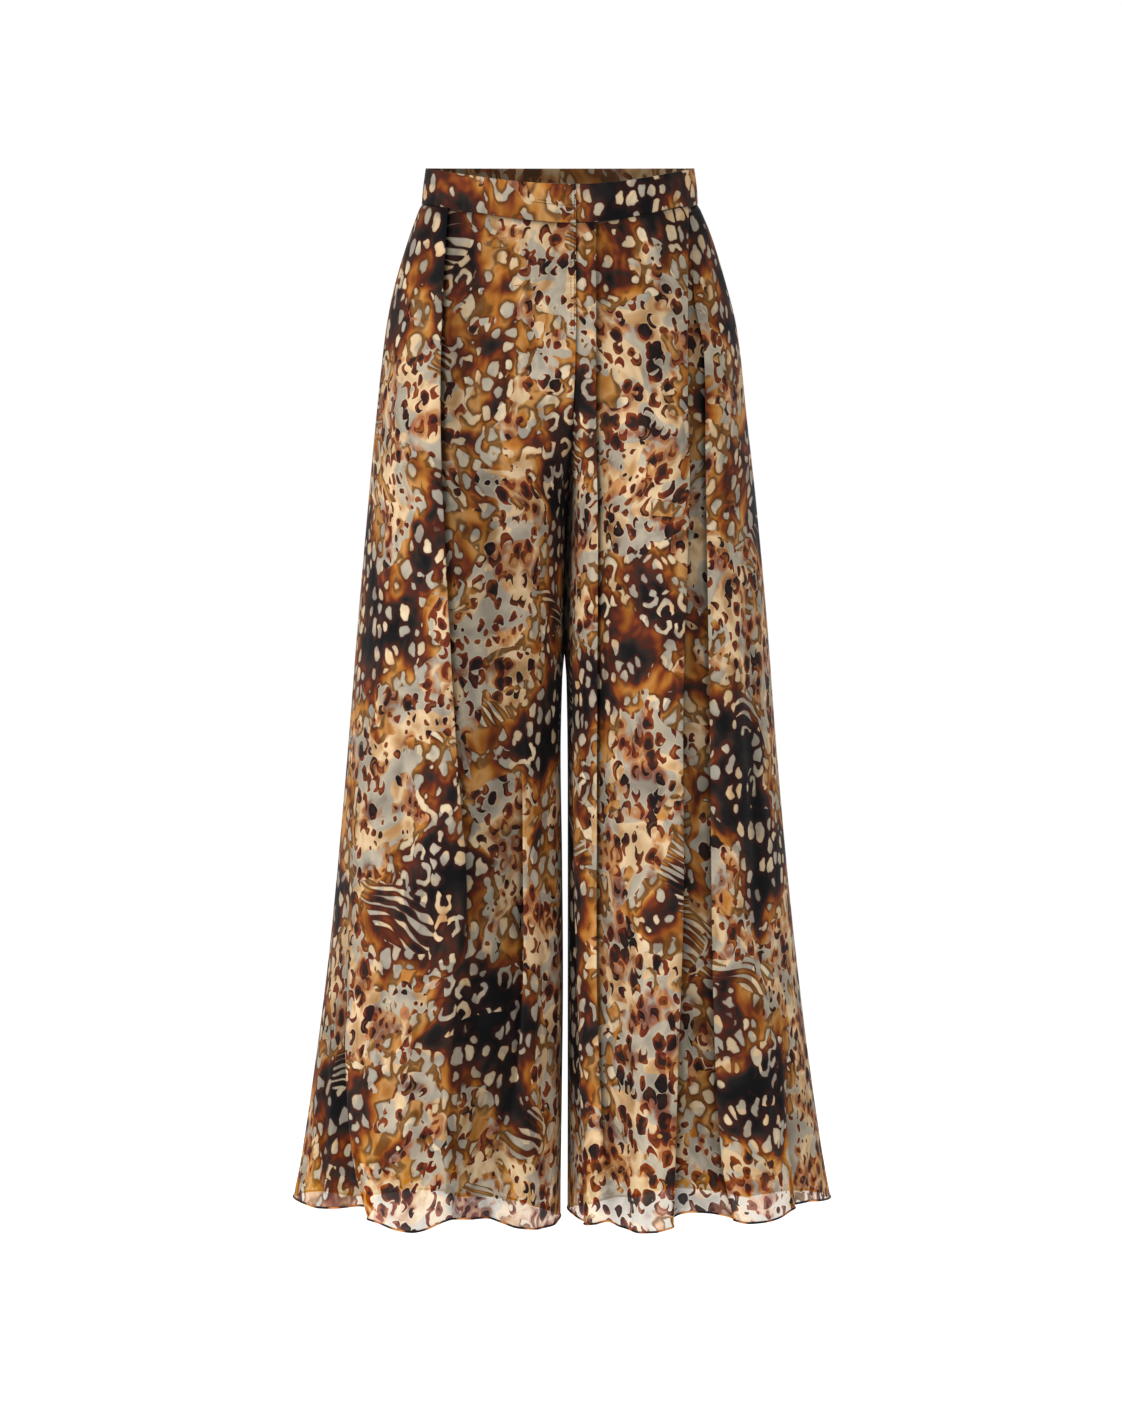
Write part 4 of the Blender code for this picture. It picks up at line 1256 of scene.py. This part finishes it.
def make_leg_panel(panel):
    """A leg panel with its maps, materials and thickness, and its measures."""
    points, above_hem, shade = leg_points(panel)
    across = along_rows(points)
    u = panel.side * panel.facing * (across - across[:, -1:] / 2)
    v = np.broadcast_to(above_hem[:, None], u.shape)
    piece, row, column = grid_object("cloth_" + panel.name, points)
    for material in leg_materials:
        piece.data.materials.append(material)
    lay_cloth_maps(piece, row, column, u, v, panel.print_at)
    add_shade(piece, row, column, shade)
    first_sheer = int(np.argmax(above_hem < SHEER_REACH)) + 1
    top_row = np.array([min(row[i] for i in p.vertices) for p in piece.data.polygons])
    material_indices = np.where(top_row >= first_sheer, SHEER_MATERIAL, 0)
    piece.data.polygons.foreach_set("material_index", material_indices)
    face_out(piece, panel.side, panel.facing)
    shell(piece, CLOTH_THICKNESS)
    hem_width = float(across[-1, -1])
    length = float(np.linalg.norm(np.diff(points, axis=0), axis=2).sum(0).max())
    return Leg(piece, points, hem_width, length, flat_area(points))


legs = {}
for panel in PANELS:
    leg = make_leg_panel(panel)
    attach(leg.piece, "root")
    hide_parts(panel.name)
    legs[panel.name] = leg
    sizes = [round(size, 4) for size in (leg.hem_width, leg.length, leg.area)]
    print(leg.piece.name, "hem, length and area:", sizes)


# %% [markdown]
# ## Waistband
#
# The band is the same chiffon, doubled over a firm interlining, and it is cut in four curved
# pieces. The two in front dip towards the middle. The right one laps over the left one, which
# goes on behind it for three centimetres and carries the hidden hook.
#
# A doubled and stiffened band has no folds of its own. It bulges a little between its two
# edges, which are rounded, since they are folds and not cuts. So a net with few rows will do,
# given its thickness by one modifier and its round edges by another.

# %% Points of a waistband piece
BAND_THICKNESS = 0.0020
BAND_WALL = 0.0022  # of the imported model
BAND_DRAWN_IN = 0.004  # how much nearer the middle its top edge is than the waist seam
BAND_CROWN = 0.0005  # how far it bulges
LAP_UNDER = 0.030  # how far the left front goes on behind the right one
LAP_TUCK_LENGTH = 0.010  # of the stretch where it steps in to go behind
BAND_COLUMNS = 96
BAND_ROWS = 14


def top_dip(facing, share):
    """How far the top edge dips, as seam_dip does for the seam."""
    rise = np.sin(share * math.pi / 2)
    return FRONT_TOP_DIP * rise**3 if facing < 0 else BACK_DIP * rise


def band_points(panel):
    """The outer face of a band piece. Past the middle, the lap follows the other side's ellipse."""
    laps = panel.side > 0 and panel.facing < 0
    here = Ellipses(panel.side, panel.facing, np.array([WAIST_SEAM]))
    other = Ellipses(-panel.side, panel.facing, np.array([WAIST_SEAM]))
    end = math.pi / 2 + (LAP_UNDER / other.reach[0] if laps else 0.0)
    angle = np.linspace(0.0, end, BAND_COLUMNS + 1)
    reach = np.where(angle > math.pi / 2, other.reach, here.reach)
    down = np.linspace(0.0, 1.0, BAND_ROWS + 1)[:, None]
    from_end = (math.pi / 2 - angle) * here.reach
    tuck = (BAND_WALL + SEAM_GAP) * (1.0 - smooth_step(0.0, LAP_TUCK_LENGTH, from_end))
    lift = BAND_CROWN * np.sin(down * math.pi) - (tuck if laps else 0.0)
    drawn = reach - BAND_DRAWN_IN * (1.0 - down)
    size = np.hypot(np.cos(angle) / drawn, np.sin(angle) / here.depth)
    x = here.centre + drawn * np.cos(angle) + lift * np.cos(angle) / drawn / size
    y = SEAM_GAP / 2 + here.depth * np.sin(angle) + lift * np.sin(angle) / here.depth / size
    from_side = angle / (math.pi / 2)
    top = BAND_TOP - top_dip(panel.facing, from_side)
    bottom = WAIST_SEAM - seam_dip(panel.facing, from_side)
    z = top + (bottom - top) * down
    return np.dstack([panel.side * x, panel.facing * y, z])


# %% Waistband pieces
FOLDED_EDGE = 0.0005
FOLDED_EDGE_STEPS = 3
SHARP_ANGLE = math.radians(50)
BAND_PRINT_AT = {
    "front_right": (-0.386, -0.498),
    "front_left": (1.590, -0.867),
    "back_right": (0.640, 1.270),
    "back_left": (-0.250, 0.610),
}


def make_band_piece(panel):
    """A band piece with its maps, materials, thickness and folded edges, and its length."""
    points = band_points(panel)
    across = along_rows(points)
    u = panel.side * panel.facing * (across - across[:, :1])
    v = np.broadcast_to(points[:, :1, 2], u.shape)
    piece, row, column = grid_object("band_" + panel.name, points)
    for material in band_materials:
        piece.data.materials.append(material)
    lay_cloth_maps(piece, row, column, u, v, BAND_PRINT_AT[panel.name])
    face_out(piece, panel.side, panel.facing)
    shell(piece, BAND_THICKNESS)
    edge = piece.modifiers.new("folded_edge", "BEVEL")
    edge.width = FOLDED_EDGE
    edge.segments = FOLDED_EDGE_STEPS
    edge.limit_method = "ANGLE"
    edge.angle_limit = SHARP_ANGLE
    return piece, points, float(across[0, -1])


bands = {}
for panel in PANELS:
    piece, points, length = make_band_piece(panel)
    bands[panel.name] = points
    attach(piece, "root")
    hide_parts("waistband_" + panel.name)
    print(piece.name, "length:", round(length, 4))


# %% [markdown]
# ## Hems and seams
#
# Chiffon frays, so no edge of it is left raw. The hem is rolled into a bead two millimetres
# thick, and as the print goes round with the cloth, the bead shows in dark and orange dashes.
# Inside, the panels are joined by French seams, narrow fins with the raw edges shut in.
#
# A bead or a fin is a small outline that follows an edge. The same net of squares does for
# it: it is rolled up, merged where its two sides meet, and capped at both ends.

# %% A bead or fin along an edge
UP = (0.0, 0.0, 1.0)
OUTLINE_STEP = 0.001  # what the cut map counts for each side of an outline
SAME_PLACE = 1e-7


def swept(name, path, first, second, outline):
    """An outline of (first, second) pairs swept along a path, closed all round and at its ends."""
    outline = np.array(outline + outline[:1])
    points = path[:, None] + first[:, None] * outline[None, :, :1] + second[:, None] * outline[None, :, 1:]
    piece, row, column = grid_object(name, points)
    along = along_path(path)
    add_uv(piece.data, "cut", np.column_stack([along[row], column * OUTLINE_STEP]))
    bm = bmesh.new()
    bm.from_mesh(piece.data)
    bmesh.ops.remove_doubles(bm, verts=bm.verts, dist=SAME_PLACE)
    bmesh.ops.holes_fill(bm, edges=[e for e in bm.edges if e.is_boundary], sides=0)
    bmesh.ops.recalc_face_normals(bm, faces=bm.faces)
    bm.to_mesh(piece.data)
    bm.free()
    return piece


def going(path):
    """The direction of a path at each of its points."""
    steps = np.gradient(path, axis=0)
    return steps / np.linalg.norm(steps, axis=1)[:, None]


def everywhere(direction, path):
    """The same direction at each point of a path."""
    return np.broadcast_to(np.array(direction, dtype=float), path.shape)


def finish_trim(piece, material):
    """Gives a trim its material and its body."""
    piece.data.materials.append(material)
    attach(piece, "root")
    return piece


# %% Materials of hems, seams and thread
BEAD_SHINE = 0.2
SEAM_SHINE = 0.1
SEAM_ROUGHNESS = 0.75
BEAD_INKS = ((0.40, "120D0C"), (0.50, "2A1A14"), (0.53, "8A4A1C"), (0.58, "B8692A"), (0.68, "C98A4E"))


def hem_material():
    """Dashes of ink along the bead."""
    material, n, shader = new_material("rolled_hem", CLOTH_ROUGHNESS, BEAD_SHINE)
    cut = n.add("ShaderNodeUVMap", uv_map="cut").outputs[0]
    along = n.noise(n.stretched(cut, 1.0, 0.10), 52.0, 0.5)
    n.tree.links.new(n.ramp(along, *BEAD_INKS), shader.inputs["Base Color"])
    return material


def seam_material(name, dark, light):
    """Mottled cloth or thread, from the dark swatch to the light one."""
    material, n, shader = new_material(name, SEAM_ROUGHNESS, SEAM_SHINE)
    place = n.add("ShaderNodeTexCoord").outputs["Object"]
    mottle = n.add("ShaderNodeTexNoise", {"Vector": place, "Scale": 70.0, "Detail": 2.0}).outputs["Fac"]
    n.tree.links.new(n.ramp(mottle, (0.40, dark), (0.60, light)), shader.inputs["Base Color"])
    return material


rolled_hem = hem_material()
seam_cloth = seam_material("seam_cloth", "1E1612", "4A3021")
band_seam_cloth = seam_material("band_seam_cloth", "5A3A20", "8A5E34")
thread = seam_material("thread", "1C130E", "33231A")
tack_thread = seam_material("tack_thread", "B4601C", "CF7A30")
print("trim materials:", [m.name for m in (rolled_hem, seam_cloth, band_seam_cloth, thread, tack_thread)])

# %% Rolled hems
HEM_BEAD = 0.0011  # radius
HEM_SIDES = 8
corners = [math.tau * i / HEM_SIDES for i in range(HEM_SIDES)]
bead_outline = [(HEM_BEAD * math.cos(corner), HEM_BEAD * math.sin(corner)) for corner in corners]
trims = {panel.name: [] for panel in PANELS}
for panel in PANELS:
    path = legs[panel.name].points[-1]
    out = np.cross(going(path), UP) * panel.side * panel.facing
    out /= np.linalg.norm(out, axis=1)[:, None]
    centre = path - out * CLOTH_THICKNESS / 2
    piece = swept("hem_" + panel.name, centre, out, everywhere(UP, path), bead_outline)
    piece.data.shade_smooth()
    trims[panel.name].append(finish_trim(piece, rolled_hem))
    print(piece.name, "faces:", len(piece.data.polygons))


# %% French seams of the legs
FIN_HALF_WIDTH = 0.0006
FIN_DEPTH = 0.0050
FIN_STARTS = 0.0001  # behind the inner face of the cloth
SEAMS_END = 0.006  # how far from the crotch each seam ends


def fin_outline(half_width, start, depth):
    """A rectangle across the seam, which starts so far inside the cloth's outer face."""
    end = start + depth
    return [(-half_width, start), (half_width, start), (half_width, end), (-half_width, end)]


def fin(name, path, across, inward, outline, panel_name):
    """A fin along a seam, counted as a trim of one panel."""
    piece = swept(name, path, across, inward, outline)
    trims[panel_name].append(finish_trim(piece, seam_cloth))
    print(name, "faces:", len(piece.data.polygons))


fin_shape = fin_outline(FIN_HALF_WIDTH, CLOTH_THICKNESS + FIN_STARTS, FIN_DEPTH)
row_heights = np.linspace(WAIST_SEAM, HEM, PANEL_ROWS + 1)
for side, half in ((-1, "right"), (1, "left")):
    front, back = legs["front_" + half].points, legs["back_" + half].points
    path = (front[:, 0] + back[:, 0]) / 2
    across, inward = everywhere((0, 1, 0), path), everywhere((-side, 0, 0), path)
    fin("side_seam_" + half, path, across, inward, fin_shape, "back_" + half)
    path = ((front[:, -1] + back[:, -1]) / 2)[row_heights < CROTCH - SEAMS_END]
    across, inward = everywhere((0, 1, 0), path), everywhere((side, 0, 0), path)
    fin("inseam_" + half, path, across, inward, fin_shape, "back_" + half)


# %% [markdown]
# The two legs are joined by one more seam, which runs from the front of the waist down round
# the crotch and up the back. In front it is a fly: the right edge lies on the left one, with
# a strip of cloth behind both.

# %% Seams of the rise
SEAT_HALF_WIDTH = 0.0010
FLY_HALF_WIDTH = 0.0050
FLY_STARTS = 0.0017  # behind the outer face of the cloth
FLY_STRIP = 0.0006  # thickness
for facing, name in ((-1, "front"), (1, "back")):
    inner = (legs[name + "_right"].points[:, -1] + legs[name + "_left"].points[:, -1]) / 2
    path = inner[row_heights > CROTCH + SEAMS_END]
    across = everywhere((1, 0, 0), path)
    inward = np.cross(across, going(path)) * -facing
    seat_shape = fin_outline(SEAT_HALF_WIDTH, CLOTH_THICKNESS + FIN_STARTS, FIN_DEPTH)
    outline = seat_shape if facing > 0 else fin_outline(FLY_HALF_WIDTH, FLY_STARTS, FLY_STRIP)
    fin("rise_seam_" + name, path, across, inward, outline, name + "_right")


# %% Seams of the waistband
WAIST_STRIP = (0.0035, 0.0021, 0.0006)  # half its height, how far inside it starts, thickness
SEAM_LINE = (0.0006, 0.0004, 0.0012)  # the same of a seam in the band, which fills its groove
SEAM_END = 0.0002  # how far a seam in the band stops short of its edges
WAIST_SEAM_POINTS = 61
for panel in PANELS:
    ellipses = Ellipses(panel.side, panel.facing, np.array([WAIST_SEAM]))
    angle = np.linspace(0.0, math.pi / 2, WAIST_SEAM_POINTS)[None, :]
    x, y = ellipses.places(angle, 0.0)
    z = WAIST_SEAM - seam_dip(panel.facing, angle / (math.pi / 2))
    path = np.dstack([x, y, z])[0]
    inward = np.cross(UP, going(path)) * panel.side * panel.facing
    shape = fin_outline(*WAIST_STRIP)
    fin("waist_seam_" + panel.name, path, everywhere(UP, path), inward, shape, panel.name)

for name, first, second, column, across, inward in (
    ("side_right", "front_right", "back_right", 0, (0, 1, 0), (1, 0, 0)),
    ("side_left", "front_left", "back_left", 0, (0, 1, 0), (-1, 0, 0)),
    ("centre_back", "back_right", "back_left", -1, (1, 0, 0), (0, -1, 0)),
):
    path = (bands[first][:, column] + bands[second][:, column]) / 2
    path[0, 2] -= SEAM_END
    path[-1, 2] += SEAM_END
    across, inward = everywhere(across, path), everywhere(inward, path)
    piece = swept("band_seam_" + name, path, across, inward, fin_outline(*SEAM_LINE))
    finish_trim(piece, band_seam_cloth)
    print(piece.name, "faces:", len(piece.data.polygons))


# %% [markdown]
# ## Stitching
#
# Two rows of stitches hold the edge of the lap and go on down the fly. A row of backstitches
# along the middle of the band holds the hidden hook, and ends in a short orange tack. Each
# stitch is a small oval of thread that lies on the cloth, so it is placed from the cloth's
# own net: a row, a column, and outwards.

# %% Stitches
STITCH_SPACING = 0.0032
CLOSE_SPACING = 0.0023  # of backstitches, which lie end to end
STITCH_SIZE = (0.0013, 0.00034, 0.00022)  # half of its length, width and height
AHEAD = 0.0005  # how far on the line's direction is read
LINE_POINTS = 25


def on_net(points, row, column):
    """A place between the corners of a net, for a fractional row and column."""
    i = min(int(row), points.shape[0] - 2)
    j = min(int(column), points.shape[1] - 2)
    top = points[i, j] + (points[i, j + 1] - points[i, j]) * (column - j)
    bottom = points[i + 1, j] + (points[i + 1, j + 1] - points[i + 1, j]) * (column - j)
    return top + (bottom - top) * (row - i)


def on_path(path, along, at):
    """A place on a path, so many metres along it."""
    return Vector([np.interp(at, along, path[:, i]) for i in range(3)])


def stitches(name, lines, spacing=STITCH_SPACING, of_thread=thread):
    """One object with a stitch at every few millimetres of each line. A line is a path."""
    bm = bmesh.new()
    count = 0
    for path in lines:
        along = along_path(path)
        for at in np.arange(spacing / 2, along[-1], spacing):
            centre = on_path(path, along, at)
            forward = (on_path(path, along, at + AHEAD) - centre).normalized()
            out = Vector((0.0, -1.0, 0.0))
            sideways = forward.cross(out).normalized()
            half_length, half_width, half_height = STITCH_SIZE
            axes = Matrix((forward * half_length, sideways * half_width, out * half_height)).transposed()
            placed = Matrix.Translation(centre) @ axes.to_4x4()
            bmesh.ops.create_uvsphere(bm, u_segments=6, v_segments=4, radius=1.0, matrix=placed)
            count += 1
    bmesh.ops.recalc_face_normals(bm, faces=bm.faces)
    piece = as_object(bm, name)
    piece.data.shade_smooth()
    print(name, count, "stitches")
    return finish_trim(piece, of_thread)


def beside_edge(points, distance, lowest):
    """A path down a net's last column, a distance in from it, as far as a height."""
    across = along_rows(points)
    rows = [i for i in range(len(points)) if points[i, -1, 2] > lowest]
    columns = [np.interp(across[i, -1] - distance, across[i], np.arange(points.shape[1])) for i in rows]
    return np.array([on_net(points, i, column) for i, column in zip(rows, columns)])


def along_band(points, ends):
    """A path on a band piece between two (x, z) places."""
    (x0, z0), (x1, z1) = ends
    path = []
    for share in np.linspace(0.0, 1.0, LINE_POINTS):
        x, z = x0 + (x1 - x0) * share, z0 + (z1 - z0) * share
        middle_row = points[BAND_ROWS // 2]
        order = np.argsort(middle_row[:, 0])
        column = np.interp(x, middle_row[order, 0], order.astype(float))
        heights = np.array([on_net(points, r, column)[2] for r in range(BAND_ROWS + 1)])
        row = np.interp(-z, -heights, np.arange(BAND_ROWS + 1))
        path.append(on_net(points, row, column))
    return np.array(path)


LAP_ROWS = (0.0015, 0.0050)  # from the edge
FLY_STITCHED_TO = -0.142
HOOK_ROWS = (
    ((-0.0290, -0.0118), (-0.0130, -0.0136)),
    ((-0.0130, -0.0136), (0.0040, -0.0155)),
    ((0.0040, -0.0155), (0.0150, -0.0142)),
    ((-0.0220, -0.0098), (-0.0130, -0.0106)),
)
HOOK_ROW_UNDER = ((0.0175, -0.0139), (0.0240, -0.0128))
TACK = ((0.0222, -0.0131), (0.0268, -0.0126))
band_right, band_left = bands["front_right"], bands["front_left"]
lines = [beside_edge(band_right, distance, -1.0)[:-1] for distance in LAP_ROWS]
stitches("band_stitches", lines)
lines = [along_band(band_right, ends) for ends in HOOK_ROWS] + [along_band(band_left, HOOK_ROW_UNDER)]
stitches("hook_stitches", lines, CLOSE_SPACING)
stitches("hook_tack", [along_band(band_left, TACK)], CLOSE_SPACING, tack_thread)
fly = legs["front_right"].points
lines = [beside_edge(fly, distance, FLY_STITCHED_TO)[2:] for distance in LAP_ROWS]
trims["front_right"].append(stitches("fly_stitches", lines))

# %% [markdown]
# ## The cut of the cloth
#
# Each leg panel is cut nearly twice as wide at the hem as at the waist. Its length and area
# are measured along the cloth just made, pleats included.

# %% A pass over the leg panels
for panel in PANELS:
    leg = legs[panel.name]


# %% [markdown]
# ## Studio
#
# A large soft light from the left brings out the upright folds, because they run across its
# direction. A weak one from the right keeps the shadows open, and one from behind comes
# through the sheer hem. The floor glows a little, so that it is as pale as the background.

# %% Lights
def area_light(name, power, size, at, aim):
    """A large soft lamp at one place that shines at another."""
    light = bpy.data.lights.new(name, "AREA")
    light.shape = "RECTANGLE"
    light.size, light.size_y = size
    light.energy = power
    lamp = bpy.data.objects.new(name, light)
    lamp.location = at
    direction = np.array(aim) - np.array(at)
    lamp.rotation_euler = Vector(direction).to_track_quat("-Z", "Y").to_euler()
    bpy.context.scene.collection.objects.link(lamp)
    print(name, "light, watts:", power)


area_light("key", 95.0, size=(2.0, 2.6), at=(-3.0, -3.2, 0.2), aim=(0.0, 0.0, -0.5))
area_light("fill", 16.0, size=(3.0, 3.0), at=(3.2, -3.0, 0.2), aim=(0.0, 0.0, -0.6))
area_light("back", 40.0, size=(3.0, 2.0), at=(0.0, 3.4, 1.6), aim=(0.0, 0.0, -0.5))

# %% Floor
FLOOR = -1.26
FLOOR_HALF_WIDTH = 120.0
FLOOR_GREY = 0.85
FLOOR_ROUGHNESS = 0.9
FLOOR_SHINE = 0.5
FLOOR_GLOW = 0.62
WHITE = (1.0, 1.0, 1.0, 1.0)

bm = bmesh.new()
bmesh.ops.create_grid(bm, x_segments=1, y_segments=1, size=FLOOR_HALF_WIDTH)
bmesh.ops.translate(bm, verts=bm.verts, vec=(0.0, 0.0, FLOOR))
floor = as_object(bm, "floor")
material, n, shader = new_material("floor", FLOOR_ROUGHNESS, FLOOR_SHINE)
shader.inputs["Base Color"].default_value = (FLOOR_GREY, FLOOR_GREY, FLOOR_GREY, 1.0)
shader.inputs["Emission Color"].default_value = WHITE
shader.inputs["Emission Strength"].default_value = FLOOR_GLOW
floor.data.materials.append(material)
print("floor at:", FLOOR)

# %% Room
BACKGROUND_SEEN = 0.99  # strength of the white that the camera sees
ROOM_LIGHT = 0.46  # and of the white that lights the cloth

world = bpy.data.worlds.new("studio")
world.use_nodes = True
bpy.context.scene.world = world
n = Nodes(world.node_tree)
for node in list(world.node_tree.nodes):
    world.node_tree.nodes.remove(node)
seen = n.add("ShaderNodeBackground", {"Color": WHITE, "Strength": BACKGROUND_SEEN})
around = n.add("ShaderNodeBackground", {"Color": WHITE, "Strength": ROOM_LIGHT})
is_seen = n.add("ShaderNodeLightPath").outputs["Is Camera Ray"]
either = n.add("ShaderNodeMixShader", {0: is_seen, 1: around.outputs[0], 2: seen.outputs[0]})
n.add("ShaderNodeOutputWorld", {"Surface": either.outputs[0]})
bpy.context.scene.view_settings.view_transform = "Standard"
print("room light:", ROOM_LIGHT)
